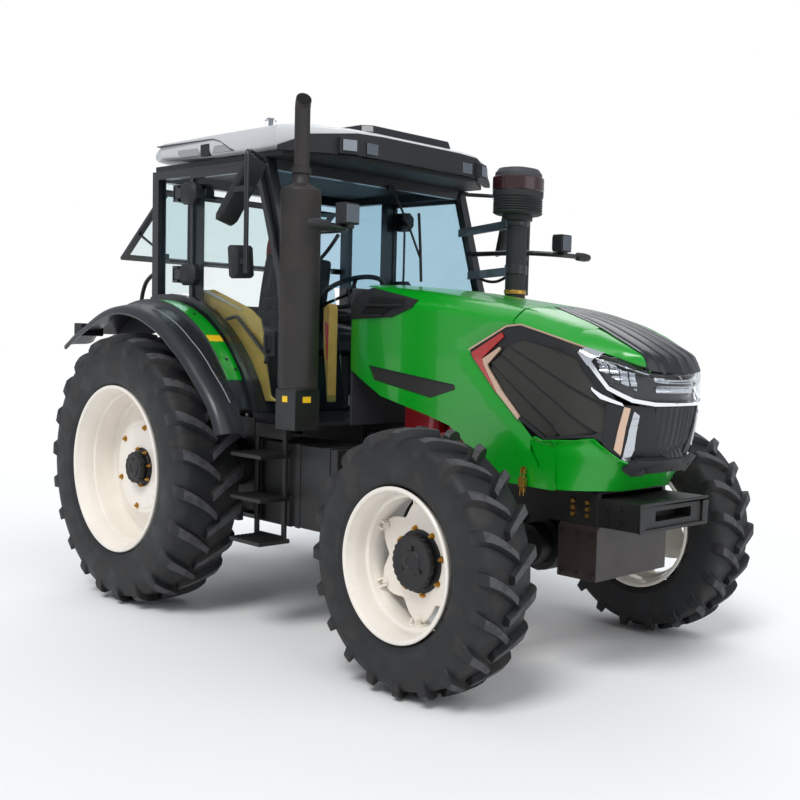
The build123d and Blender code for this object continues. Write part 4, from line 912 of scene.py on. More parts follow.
# ---------------------------------------------------------------- chassis castings and steel
# A cast engine in red enamel; gearbox, axles and knuckles are coarse sand castings painted black.
# Rails, brackets, steps and tank are welded steel plate in black enamel, bolted to the castings.
ENGINE_RED = finish("engine_red_enamel", "#B00D1E", 0.35, coat=0.5, mottle=0.06, size=0.2)
CHASSIS = finish("chassis_black_enamel", "#141415", 0.45, mottle=0.08, size=0.3, worn=("#211E1C", 0.4))
BROWN_BLACK = finish("brown_black_enamel", "#2A201E", 0.42, coat=0.2, mottle=0.08, size=0.2)
STEEL = finish("machined_steel", "#B9BABB", 0.3, metal=1.0)


def from_node(name):
    """A merged copy of a CAD node's mesh to work on."""
    bm = bmesh.new()
    bm.from_mesh(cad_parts[name].data)
    bmesh.ops.remove_doubles(bm, verts=bm.verts, dist=2e-5)
    bmesh.ops.dissolve_limit(bm, angle_limit=radians(1), verts=bm.verts, edges=bm.edges)
    return bm


def dress(name, look, edge, body):
    """A CAD node's merged copy with softened edges."""
    add(name + "_skin", from_node(name), look, body, [name], edge)


for name, look, slot, edge, body in (("engine", ENGINE_RED, "engine_red", 8, "chassis"),
                                     ("transmission", CASTING, "black_casting", 6, "chassis"),
                                     ("front_axle", CASTING, "black_casting", 5, "chassis"),
                                     ("knuckle_left", CASTING, "black_casting", 4, "steer_left"),
                                     ("knuckle_right", CASTING, "black_casting", 4, "steer_right"),
                                     ("front_frame", CHASSIS, "chassis_steel", 3, "chassis"),
                                     ("front_box", BROWN_BLACK, "chassis_steel", 4, "chassis"),
                                     ("weight_bracket", CHASSIS, "chassis_steel", 5, "chassis"),
                                     ("drawbar", CHASSIS, "chassis_steel", 3, "chassis"),
                                     ("drive_shaft", CHASSIS, "chassis_steel", 0, "chassis"),
                                     ("link_brackets", CHASSIS, "chassis_steel", 3, "chassis"),
                                     ("lower_links", CHASSIS, "chassis_steel", 3, "links"),
                                     ("lift_arms", CHASSIS, "chassis_steel", 4, "arms"),
                                     ("lift_rods", CHASSIS, "chassis_steel", 2, "rods"),
                                     ("radiator", CASTING, "bright_steel", 3, "chassis"),
                                     ("steps", CHASSIS, "chassis_steel", 4, "chassis"), ):
    dress(name, look, edge, body)

# Engine dress under the bonnet: valve cover, filters and pipes on the block, and rails along its sides.
bm = bmesh.new()
box(bm, (1800, 2420), (-110, 110), (1602, 1650))
for x in (1860, 1990, 2120, 2250):
    box(bm, (x, x + 60), (-222, -170), (1300, 1400))
for sign in (-1, 1):
    drum(bm, (1950, sign * 290, 1180), (1950, sign * 290, 1340), 52, 24)
    drum(bm, (2120, sign * 290, 1160), (2120, sign * 290, 1330), 46, 24)
    box(bm, (1700, 2560), (sign * 246 - 6, sign * 246 + 6), (1020, 1050))
add("engine_fittings", bm, ENGINE_RED, "chassis", edge=4)
bm = bmesh.new()
for sign in (-1, 1):
    for x in range(1700, 2640, 94):
        drum(bm, (x, sign * 245, 1100), (x, sign * 252, 1100), 9, 6)
        drum(bm, (x, sign * 245, 920), (x, sign * 252, 920), 9, 6)
    for x in (1700, 1790, 1880):
        drum(bm, (x, sign * 281, 896), (x, sign * 292, 896), 12, 6)
for y in (-200, -100, 0, 100, 200):
    for z in (560, 1090):
        drum(bm, (-302, y, z), (-312, y, z), 12, 6)
add("frame_bolts", bm, GOLD, "chassis", edge=1)


def pipe(name, points, radius, look, body, smooth=True, sides=6):
    """A hose or bent tube along a smooth line through its control points."""
    data = bpy.data.curves.new(name, "CURVE")
    data.dimensions = "3D"
    line = data.splines.new("NURBS")
    line.points.add(len(points) - 1)
    for p, q in zip(line.points, points):
        p.co = (*at(*q), 1)
    line.order_u = 3 if smooth else 2
    line.use_endpoint_u = True
    line.resolution_u = 8
    data.bevel_depth = radius / 1000
    data.bevel_resolution = sides
    data.use_fill_caps = True
    data.materials.append(look)
    obj = bpy.data.objects.new(name, data)
    bpy.context.scene.collection.objects.link(obj)
    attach(obj, body)
    return obj


# Weight carrier: the front plate's slot has a raised rim; the box below it has folded edges and bolts.


def prism(bm, outline, axis, low, high):
    """Extrudes an outline of (x, z), or for axis z of (x, y), from one limit to the other."""
    place = (lambda a, b, c: at(a, c, b)) if axis == "y" else at
    ribbon(bm, [[place(a, b, c) for a, b in outline] for c in (low, high)])


bm = bmesh.new()
for y0, y1, z0, z1 in ((-286, 286, 934, 954), (-286, 286, 808, 826), (-286, -240, 826, 934),
                       (240, 286, 826, 934)):
    prism(bm, [(3352, y0), (3362, y0), (3362, y1), (3352, y1)], "z", z0, z1)
add("weight_plate_rim", bm, CHASSIS, "chassis", edge=4)
bm = bmesh.new()
for sign in (-1, 1):
    for x in (2890, 2985, 3080):
        for z in (575, 770):
            drum(bm, (x, sign * 289, z), (x, sign * 300, z), 11, 6)
    for z in (846, 916):
        drum(bm, (3160, sign * 276, z), (3160, sign * 290, z), 13, 6)
        drum(bm, (3230, sign * 276, z), (3230, sign * 290, z), 13, 6)
add("bracket_bolts", bm, CHASSIS, "chassis", edge=1)

# Valve block and cable ducts under the cab floor.
bm = bmesh.new()
box(bm, (760, 1330), (-300, 300), (1046, 1176))
for y in (-250, -150, 150, 250):
    drum(bm, (1330, y, 1110), (1352, y, 1110), 26, 16)
add("valve_block", bm, CHASSIS, "chassis", edge=6)

# Steering cylinders and brake lines by the front axle, fuel and hydraulic hoses by the gearbox.
for sign in (-1, 1):
    side = "left" if sign > 0 else "right"
    bm = bmesh.new()
    drum(bm, (2420, sign * 120, 548), (2400, sign * 470, 548), 34, 20)
    drum(bm, (2400, sign * 470, 548), (2396, sign * 560, 548), 16, 16)
    add(f"steering_cylinder_{side}", bm, CHASSIS, "chassis", edge=2)
    pipe(f"axle_hose_{side}", [(2430, sign * 160, 590), (2300, sign * 210, 760), (2200, sign * 230, 900),
                               (1900, sign * 250, 980)], 9, GRAIN_BLACK, "chassis")
    pipe(f"frame_hose_{side}", [(1640, sign * 225, 1010), (1500, sign * 260, 900), (1250, sign * 262, 880),
                                (900, sign * 255, 960)], 11, GRAIN_BLACK, "chassis")

# ---------------------------------------------------------------- cab
# A welded frame of steel tube in black enamel carries toughened glass, bluest in the windscreen. Inside are
# a ribbed rubber mat, moulded consoles and tan foam trim in the door openings.
CAB_BLACK = finish("cab_black_enamel", "#1C1D21", 0.34, coat=0.3, mottle=0.04, size=0.4)
MAT = finish("ribbed_floor_mat", "#202022", 0.85, bump=0.4, grain=0.006)
TAN = finish("tan_trim_foam", "#B79A4E", 0.75, mottle=0.08, size=0.1, bump=0.25, grain=0.003)
SMOKE = finish("smoke_grey_plastic", "#3A3B40", 0.5, bump=0.2, grain=0.002)
PANES = {"windscreen": (0.42, 0.60, 0.72), "quarter_windows": (0.74, 0.84, 0.86),
         "rear_window_glass": (0.74, 0.84, 0.86), "door_glass_left": (0.86, 0.92, 0.92),
         "door_glass_right": (0.86, 0.92, 0.92)}
for name, tint in PANES.items():
    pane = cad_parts[name].data.materials
    pane.clear()
    pane.append(glazing(f"safety_glass_{name}", tint, 0.0, 1.16, 0.7))
for name, look, slot, edge, body in (("cab_frame", CAB_BLACK, "cab_black", 10, "chassis"),
                                     ("cab_floor", MAT, "floor_mat", 3, "chassis"),
                                     ("door_left", CAB_BLACK, "cab_black", 6, "left_door"),
                                     ("door_right", CAB_BLACK, "cab_black", 6, "right_door"),
                                     ("door_hinges", CAB_BLACK, "cab_black", 3, "chassis"),
                                     ("dashboard", SMOKE, "black_plastic", 12, "chassis"),
                                     ("rear_window_frame", CAB_BLACK, "cab_black", 4, "chassis"),
                                     ("roof_lining", GRAIN_BLACK, "black_plastic", 6, "chassis"),
                                     ("seat_base", GRAIN_BLACK, "black_plastic", 12, "chassis"), ):
    dress(name, look, edge, body)

# Faceted hinge covers over the door hinges, a pull rod between them, and a handle on the other edge.


def beside(sign, near, far):
    """The two y limits, in order, of something that lies from near to far out on one side."""
    return tuple(sorted((sign * near, sign * far)))


for side, sign in (("left", 1), ("right", -1)):
    body = f"{side}_door"
    bm = bmesh.new()
    for z in (2020, 2500):
        rings = []
        for y, w, h in ((806, 78, 62), (850, 84, 66), (872, 66, 50), (880, 40, 30)):
            rings.append([at(352 + dx * w, sign * y, z + dz * h) for dx, dz in (
                (-1, -0.55), (-0.6, -1), (0.6, -1), (1, -0.45), (1, 0.5), (0.6, 1), (-0.6, 1), (-1, 0.55))])
        ribbon(bm, rings)
    add(f"hinge_covers_{side}", bm, GRAIN_BLACK, body, edge=4)
    pipe(f"door_rod_{side}", [(352, sign * 838, 2060), (352, sign * 846, 2100), (352, sign * 846, 2420),
                              (352, sign * 838, 2460)], 8, CAB_BLACK, body, smooth=False)
    bm = bmesh.new()
    box(bm, (1130, 1200), beside(sign, 804, 822), (1560, 1700))
    drum(bm, (1150, sign * 820, 1590), (1150, sign * 850, 1590), 12, 16)
    drum(bm, (1150, sign * 846, 1580), (1150, sign * 846, 1680), 10, 16)
    add(f"door_handle_{side}", bm, GRAIN_BLACK, body, edge=4)
    # A bent rail and the gas strut lie inside the door.
    pipe(f"door_rail_{side}", [(640, sign * 764, 1760), (700, sign * 735, 1780), (1010, sign * 735, 1560),
                               (1040, sign * 764, 1520)], 11, CAB_BLACK, body, smooth=False)
    bm = bmesh.new()
    drum(bm, (420, sign * 768, 1925), (640, sign * 768, 1862), 9, 16)
    drum(bm, (640, sign * 768, 1862), (800, sign * 768, 1816), 5, 12)
    add(f"door_strut_{side}", bm, STEEL, body)

# Seat: a foam cushion and backrest under woven fabric, each crowned with pulled-in sides and sewn seams.
FABRIC = finish("woven_seat_fabric", "#26272C", 0.9, bump=0.6, grain=0.004, mottle=0.04, size=0.08)
ORANGE = finish("woven_accent_fabric", "#7A1D1D", 0.9, bump=0.6, grain=0.004)


WAIST = 0.06                        # share by which a pad's sides pull in between its corners


def pad(name, centre, size, tilt, look):
    """A stuffed block: crowned faces, sides pulled in between the corners, with sewn channels over top and
    bottom.
    """
    bm = bmesh.new()
    bmesh.ops.create_cube(bm, size=2)
    bmesh.ops.subdivide_edges(bm, edges=bm.edges[:], cuts=11, use_grid_fill=True)
    lean = radians(tilt)
    for v in bm.verts:
        u, w, t = v.co
        pinch = 1 - WAIST * (1 - abs(t))
        corner = 1 - 0.05 * (u * w) ** 2
        channel = 0.05 * (abs((w * 1.5) % 1 - 0.5) < 0.09) * (abs(t) > 0.9)
        height = (0.72 + 0.28 * (1 - u ** 4) * (1 - w ** 4)) - channel
        p = Vector((u * pinch * corner * size[0] / 2, w * pinch * corner * size[1] / 2,
                    t * height * size[2] / 2))
        p = Vector((p.x * cos(lean) + p.z * sin(lean), p.y, -p.x * sin(lean) + p.z * cos(lean)))
        v.co = at(centre[0] + p.x, centre[1] + p.y, centre[2] + p.z)
    obj = add(name, bm, look, "chassis", crease=80)
    soft = obj.modifiers.new("soft", "SUBSURF")
    soft.levels = soft.render_levels = 1
    return obj


cushion = pad("seat_cushion", (480, 0, 1628), (500, 500, 150), -4, FABRIC)
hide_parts("seat")
pad("seat_backrest", (235, 0, 1930), (560, 470, 140), -78, FABRIC)
pad("head_cushion", (168, 0, 2235), (150, 300, 110), -80, ORANGE)
for sign in (-1, 1):
    pad(f"armrest_{'left' if sign > 0 else 'right'}", (430, sign * 300, 1800), (340, 70, 56), -3, FABRIC)

# Steering wheel with a thick soft rim on three spokes round a central boss.
bm = bmesh.new()
lean = radians(28)


def on_wheel(r, a, t):
    """A point of the wheel by radius, angle and height over its plane."""
    x, y, z = r * cos(a), r * sin(a), t
    return at(840 + x * cos(lean) - z * sin(lean), y, 1960 + x * sin(lean) + z * cos(lean))


rings = []
for k in range(64):
    a = 2 * pi * k / 64
    rings.append([on_wheel(200 + 15 * cos(b), a, 15 * sin(b)) for b in [2 * pi * i / 12 for i in range(12)]])
ribbon(bm, rings + rings[:1], caps=False)
for turn in (90, 210, 330):
    a = radians(turn)
    ribbon(bm, [[on_wheel(hypot(r, w), a + atan2(w, r), t) for w, t in ((-h, -5), (h, -5), (h, 5), (-h, 5))]
                for r, h in ((30, 22), (110, 12), (192, 16))])
rings = [[on_wheel(r, 2 * pi * k / 32, t) for k in range(32)] for r,
         t in ((34, -22), (36, 14), (30, 21), (6, 22))]
ribbon(bm, rings)
add("steering_wheel_rim", bm, GRAIN_BLACK, "hand_wheel", ["steering_wheel"], edge=1.5)

# Side consoles, levers and tan trim panels behind the door openings.
bm = bmesh.new()
for sign in (-1, 1):
    prism(bm, [(60, 1352), (560, 1352), (700, 1560), (660, 1700), (60, 1780)], "y", *beside(sign, 300, 466))
add("side_consoles", bm, SMOKE, "chassis", edge=18, segments=3)
bm = bmesh.new()
for x, y, h in ((560, -380, 150), (500, -410, 130), (440, -380, 120), (600, -420, 90), (590, 380, 120)):
    z = 1735 - (x - 440) * 0.1
    drum(bm, (x, y, z), (x + 20, y, z + h), 7, 10)
    drum(bm, (x + 20, y, z + h - 6), (x + 28, y, z + h + 44), 15, 16, tip=20)
add("levers", bm, GRAIN_BLACK, "chassis", edge=3)
bm = bmesh.new()
for sign in (-1, 1):
    prism(bm, [(150, 1926), (408, 1938), (640, 1872), (800, 1824), (898, 1768), (928, 1680), (965, 1500),
               (1010, 1330), (1080, 1300), (815, 1292), (700, 1480), (555, 1637), (380, 1780)], "y",
          *beside(sign, 696, 712))
    prism(bm, [(1286, 1840), (1330, 1868), (1346, 1840), (1344, 1310), (1330, 1310), (1290, 1640)], "y",
          *beside(sign, 500, 560))
add("tan_trim", bm, TAN, "chassis", edge=8, segments=3)
bm = bmesh.new()
for sign in (-1, 1):
    prism(bm, [(1300, 1770), (1340, 1752), (1338, 1540), (1326, 1548)], "y", *beside(sign, 498, 562))
add("red_trim", bm, ENGINE_RED, "chassis", edge=5)

# Wiper on the windscreen, hanging from its motor under the roof edge.
bm = bmesh.new()
drum(bm, (1038, 120, 2600), (1060, 120, 2606), 26, 20)
add("wiper_motor", bm, GRAIN_BLACK, "chassis", edge=3)
pipe("wiper_arm", [(1062, 120, 2600), (1130, 190, 2400), (1190, 250, 2180)], 7, GRAIN_BLACK, "chassis",
     smooth=False)
pipe("wiper_blade", [(1108, 300, 2470), (1170, 262, 2270), (1240, 214, 2040)], 9, GRAIN_BLACK, "chassis",
     smooth=False)

# ---------------------------------------------------------------- roof
# A satin light grey moulding with cut corners and recessed side pockets, bolted on the cab frame; the pockets
# are drawn as flat darker grey patches, painted shade for their recess. It carries dark work lamps, a glossy
# hatch and a beacon on a foot.
ROOF = finish("roof_grey_moulding", "#C9CACB", 0.42, coat=0.2, bump=0.08, grain=0.004)
BULB = finish("lamp_reflector", "#7F848B", 0.14, metal=0.9)


def roof_line(grow):
    """The shell's outline in plan, grown outwards by a distance."""
    front, rear, half = 1462 + grow, -350 - grow, 825 + grow
    quarter = [(front, 0), (front, 300), (front - 22, 470), (1190, half), (560, half), (-40, half - 12),
               (rear + 60, half - 120), (rear, half - 200), (rear, 0)]
    return quarter + [(x, -y) for x, y in reversed(quarter[1:-1])]


bm = bmesh.new()
rings = []
for z, grow, tail in ((2708, -34, 44), (2712, -12, 40), (2734, -2, 34), (2772, 0, 14), (2806, -5, 4),
                      (2826, -16, 0), (2842, -60, -2), (2852, -120, -4), (2866, -238, 0)):
    rings.append([at(x, y, z + tail * max(0.0, min(1.0, (500 - x) / 800))) for x, y in roof_line(grow)])
ribbon(bm, rings)
add("roof_shell", bm, ROOF, "chassis", ["cab_roof"], edge=8, segments=3, crease=22)

# The front of the roof is a black fascia that carries the work lamps, cut back under the grey shell.
bm = bmesh.new()
edge_line = roof_line(3)
front_run = [(1206, edge_line[3][1]),
             (1300, (edge_line[3][1] + edge_line[2][1]) / 2 + 34)] + edge_line[2:0:-1]
front_run += [(x, -y) for x, y in reversed(front_run)]
tops = [2716, 2790, 2812, 2816, 2816, 2812, 2790, 2716]
rings = []
for (x, y), top in zip(front_run, tops):
    rings.append([at(x, y, 2690), at(x, y, top), at(x - 30, y * 0.97, top - 3), at(x - 30, y * 0.97, 2690)])
ribbon(bm, rings)
add("roof_fascia", bm, GRAIN_BLACK, "chassis", edge=2)

# A thin groove and two shallow pockets lie in each side of the shell; a small dark lamp sits between them.
# The pockets are flat patches whose darker grey is painted shade for their depth.
GROOVE = finish("shadowed_groove", "#4A4B4E", 0.8)
bm, pockets, side_lamps = bmesh.new(), bmesh.new(), bmesh.new()
for sign in (-1, 1):
    for low, high in (((-60, 2806), (560, 2800)), ((560, 2800), (640, 2780)), ((640, 2780), (772, 2716))):
        prism(bm, [low, high, (high[0], high[1] + 5), (low[0], low[1] + 5)], "y", *beside(sign, 800, 826))
    prism(pockets, [(200, 2722), (420, 2720), (400, 2762), (180, 2764)], "y", *beside(sign, 800, 826))
    prism(pockets, [(560, 2720), (752, 2718), (700, 2760), (580, 2762)], "y", *beside(sign, 800, 826))
    box(side_lamps, (436, 530), beside(sign, 800, 828), (2712, 2780))
add("roof_grooves", bm, GROOVE, "chassis")
# Painted shade: the pockets are the moulding's grey darkened to stand for the shade in their recess.
add("roof_pockets", pockets, finish("roof_pocket_painted_shade", "#97999B", 0.5), "chassis", edge=2)
add("roof_side_lamps", side_lamps, GRAIN_BLACK, "chassis", edge=5)
bm = bmesh.new()
ribbon(bm, [[at(x, y, z) for x, y in ((a + c, -h), (b - c, -h), (b, -h + c), (b, h - c), (b - c, h),
                                      (a + c, h), (a, h - c), (a, -h + c))] for z, a, b, h,
            c in ((2850, 730, 1380, 350, 50), (2892, 742, 1366, 342, 50), (2908, 800, 1300, 290, 50))])
add("roof_hatch_cover", bm, GLOSS_BLACK, "chassis", ["roof_hatch"], edge=5, segments=3)

# Work lamps in the fascia, two at each front corner, and one under each rear corner.
shells, glows = bmesh.new(), bmesh.new()
for sign in (-1, 1):
    for x, y, turn in ((1446, 372, 0), (1440, 520, 24)):
        c, t = cos(radians(turn)), sin(radians(turn))
        for bm, depth, w, z0, z1 in ((shells, (-60, 8), 56, 2690, 2784), (glows, (8, 16), 40, 2706, 2768)):
            corners = [(x + d * c - e * t, y + d * t + e * c) for d, e in (
                (depth[0], -w), (depth[1], -w), (depth[1], w), (depth[0], w))]
            prism(bm, [(u, sign * v) for u, v in corners], "z", z0, z1)
    box(shells, (-330, -262), beside(sign, 560, 660), (2650, 2712))
    box(glows, (-336, -330), beside(sign, 570, 650), (2658, 2704))
add("roof_lamp_shells", shells, GRAIN_BLACK, "chassis", edge=6)
add("roof_lamp_faces", glows, BULB, "chassis", edge=2)


def turned(bm, profile, centre, steps=56):
    """Spins a closed profile of (height, radius) about an upright axis."""
    ring = [bm.verts.new(at(centre[0] + r, centre[1], z)) for z, r in profile]
    edges = [bm.edges.new(pair) for pair in zip(ring, ring[1:] + ring[:1])]
    bmesh.ops.spin(bm, geom=ring + edges, cent=at(*centre, 0), axis=(0, 0, 1), dvec=(0, 0, 0), angle=2 * pi,
                   steps=steps, use_merge=True)


BEACON = (520, -400)
bm = bmesh.new()
turned(bm, [(2840, 1), (2840, 50), (2890, 48), (2926, 38), (2926, 1)], BEACON, 40)
add("beacon_foot", bm, GRAIN_BLACK, "chassis", edge=1)
bm = bmesh.new()
turned(bm, [(2926, 1), (2926, 36), (2984, 34), (2998, 22), (3003, 1)], BEACON, 40)
add("beacon_dome", bm, LENS, "chassis", ["beacon"])
bm = bmesh.new()
turned(bm, [(2926, 1), (2926, 26), (2940, 24), (2946, 10), (2990, 12), (2996, 1)], BEACON, 24)
add("beacon_reflector", bm, BULB, "chassis")


# ---------------------------------------------------------------- mudguards and flares
# Satin blue-black moulded flares with a rolled edge, screwed to the inner guards, with a green inlay ahead of
# each wheel. The guards are bent sheet, fixed to the cab floor.
FLARE = finish("blue_black_moulding", "#1E2026", 0.38, coat=0.1, bump=0.1, grain=0.003)
YELLOW = finish("plain_yellow_label", "#F2C318", 0.5)
# Painted highlight: a pale grey for the light caught along the crest of each flare.
CREST_HIGHLIGHT = finish("painted_crest_highlight", "#9A9CA0", 0.5)
GUARD_TOP = 1038                    # radius at which the flare meets the inner guard
# The lip's radius about the hub for each angle: close over the tyre at the rear, and swinging away ahead.
LIP = ((14, 1128), (23, 1096), (35, 1020), (51, 968), (67, 948), (89, 938), (116, 912), (130, 948),
       (134, 966))


def guard_ring(profile, start, end, sign, step=3):
    """A skin over a profile of (y, radius), or of (y, share, above the lip), turned about the hub."""
    bm = bmesh.new()
    rings = []
    count = int((end - start) / step)
    for k in range(count + 1):
        degrees_up = start + (end - start) * k / count
        a, lip = radians(degrees_up), between(LIP, degrees_up)
        ring = []
        for y, *spot in profile:
            r = spot[0] if len(spot) == 1 else (lip + spot[1]) * spot[0] + GUARD_TOP * (1 - spot[0])
            ring.append(at(r * cos(a), sign * y, REAR_AXLE[1] + r * sin(a)))
        rings.append(ring)
    return ribbon(bm, rings)


for side, sign in (("left", 1), ("right", -1)):
    sheet_over = [(904, 0.0, 0), (912, 0.25, 58), (930, 0.6, 62), (960, 0.95, 66), (1040, 1.0, 62),
                  (1084, 1.0, 52), (1108, 1.0, 34), (1116, 1.0, 10), (1112, 1.0, 0), (1104, 1.0, 2),
                  (1098, 1.0, 26), (1076, 1.0, 40), (1036, 1.0, 48), (960, 0.95, 50), (930, 0.58, 44),
                  (904, 0.14, 40)]
    add(f"flare_{side}", guard_ring(sheet_over, 15, 133, sign), FLARE, "chassis",
        ["flares"] if sign > 0 else [], edge=2, crease=40)
    # A thin pale strip on the flare's crest, over its front and top, is a painted highlight.
    add(f"flare_painted_highlight_{side}", guard_ring([(1000, 1.0, 64), (1000, 1.0, 66.5), (1005, 1.0, 66.5),
                                           (1005, 1.0, 64)], 24, 96, sign), CREST_HIGHLIGHT, "chassis")
    guard = [(770.5, 1026), (770.5, 1040), (900, 1040), (906, 1036), (908, 1030), (904, 1024), (896, 1026)]
    add(f"mudguard_{side}", guard_ring(guard, 24, 128, sign), FLARE, "chassis",
        ["mudguards"] if sign > 0 else [], edge=2, crease=40)
    wall = [(771, 845), (776, 845), (776, 1030), (771, 1030)]
    add(f"inner_guard_{side}", guard_ring(wall, 72, 128, sign), GRAIN_BLACK, "chassis", edge=1)
    inlay = [(800, 1039), (800, 1043), (896, 1043), (896, 1039)]
    add(f"guard_inlay_{side}", guard_ring(inlay, 34, 84, sign), GREEN, "chassis", edge=2)
    add(f"guard_label_{side}", guard_ring([(802, 1042), (802, 1044.5), (894, 1044.5), (894, 1042)], 50, 53,
                                          sign, 1), YELLOW, "chassis")
    bm = bmesh.new()
    for turn, y in ((66, 848), (42, 850), (38, 820)):
        a = radians(turn)
        drum(bm, *[(r * cos(a), sign * y, REAR_AXLE[1] + r * sin(a)) for r in (1042, 1048)], 8, 12)
    add(f"guard_screws_{side}", bm, GRAIN_BLACK, "chassis")
    # A tail lamp hangs at the rear of the flare.
    bm = bmesh.new()
    box(bm, (-620, -520), beside(sign, 925, 1075), (1626, 1706))
    add(f"tail_lamp_body_{side}", bm, GRAIN_BLACK, "chassis", edge=8)
    bm = bmesh.new()
    box(bm, (-626, -620), beside(sign, 935, 1065), (1634, 1698))
    add(f"tail_lamp_face_{side}", bm, RED_LENS, "chassis", edge=2)

# ---------------------------------------------------------------- exhaust
# Steel tube in dull brown-black heat-proof paint: a finely ribbed shield round the muffler, and the stack
# with its curved open end. It stands on a pedestal that is bolted to the frame.
STACK = finish("heat_proof_paint", "#231E1D", 0.55, mottle=0.08, size=0.15, bump=0.2, grain=0.004,
               worn=("#2C2522", 0.5))
X, Y = 1505, -882                   # where the stack stands
bm = bmesh.new()
shield = [(1400, 1), (1400, 100)]
z = 1412
while z < 2436:
    shield += [(z, 104), (z + 5, 106), (z + 10, 104)]
    z += 12
shield += [(2450, 100), (2468, 60), (2480, 44), (2528, 41), (2530, 50), (2560, 50), (2562, 40), (2860, 40),
           (2860, 1)]
turned(bm, shield, (X, Y))
add("muffler_and_stack", bm, STACK, "chassis", ["exhaust"], crease=50)
bm = bmesh.new()
rings = []
for k in range(9):
    lean = radians(62 * k / 8)
    cx, cz = 58 * (1 - cos(lean)), 2858 + 58 * sin(lean)
    rings.append([at(X + cx * 0.9 + 40 * cos(b) * cos(lean) * 0.9 - 40 * sin(b) * 0.44,
                     Y - cx * 0.44 - 40 * sin(b) * 0.9 - 40 * cos(b) * cos(lean) * 0.44,
                     cz - 40 * cos(b) * sin(lean)) for b in [2 * pi * i / 40 for i in range(40)]])
ribbon(bm, rings)
add("stack_elbow", bm, STACK, "chassis", crease=50)
bm = bmesh.new()
bore = [sum(rings[-1], Vector()) / 40 + (p - sum(rings[-1], Vector()) / 40) * 0.9 for p in rings[-1]]
push = (sum(rings[-1], Vector()) - sum(rings[-2], Vector())).normalized() * 0.001
ribbon(bm, [[p - push for p in bore], [p + push for p in bore]])
add("stack_opening", bm, VOID, "chassis")
bm = bmesh.new()
box(bm, (X - 88, X + 88), (Y - 78, Y + 78), (1182, 1398))
box(bm, (1352, X), (Y + 60, -771), (1182, 1238))
drum(bm, (X, Y, 1396), (X, Y, 1402), 104, 32)
add("exhaust_pedestal", bm, CHASSIS, "chassis", edge=10, segments=3)
bm = bmesh.new()
box(bm, (X - 24, X + 20), (Y - 80, Y - 78), (1330, 1362))
box(bm, (X + 88, X + 90), (Y - 30, Y + 20), (1330, 1362))
add("pedestal_labels", bm, YELLOW, "chassis")

# ---------------------------------------------------------------- air pre-cleaner
# A moulded intake pipe held by a plated clamp and two brackets from the cab. On it sits a ribbed bowl with a
# glossy dark red band and a grey domed cap.
CLEANER = (1930, 330)
DARK_RED = finish("dark_red_moulding", "#2E0E12", 0.25, coat=0.6)
bm = bmesh.new()
turned(bm, [(1880, 1), (1880, 60), (2385, 60), (2395, 88), (2424, 90), (2424, 1)], CLEANER)
bowl = [(2425, 1), (2425, 128), (2432, 142)]
for k in range(6):
    bowl += [(2440 + 14 * k, 146), (2447 + 14 * k, 140)]
bowl += [(2530, 148), (2560, 149), (2562, 1)]
turned(bm, bowl, CLEANER)
add("pre_cleaner", bm, GRAIN_BLACK, "chassis", ["air_cleaner"], crease=25)
bm = bmesh.new()
turned(bm, [(2560, 1), (2560, 147), (2566, 150), (2634, 150), (2640, 146), (2640, 1)], CLEANER)
add("pre_cleaner_band", bm, DARK_RED, "chassis", crease=25)
bm = bmesh.new()
turned(bm, [(2640, 1), (2640, 138), (2662, 137), (2688, 118), (2698, 70), (2700, 1)], CLEANER)
add("pre_cleaner_cap", bm, SMOKE, "chassis", crease=25)
bm = bmesh.new()
turned(bm, [(1968, 60), (1968, 65), (1990, 65), (1990, 60)], CLEANER)
box(bm, (1922, 1938), (262, 272), (1966, 1992))
add("pipe_clamp", bm, GOLD, "chassis", edge=1)
bm = bmesh.new()
for z in (2110, 2390):
    prism(bm, [(1030 + (2400 - z) * 0.35, 716), (1050 + (2400 - z) * 0.35, 726), (1890, 392), (1880, 380)],
          "z", z - 26, z + 26)
    turned(bm, [(z - 26, 60.5), (z - 26, 66), (z + 26, 66), (z + 26, 60.5)], CLEANER, 40)
add("pipe_brackets", bm, CAB_BLACK, "chassis", edge=2)
pipe("bracket_hose", [(1240, 700, 1960), (1500, 660, 1900), (1750, 560, 1990), (1900, 420, 2080)], 11,
     GRAIN_BLACK, "chassis")

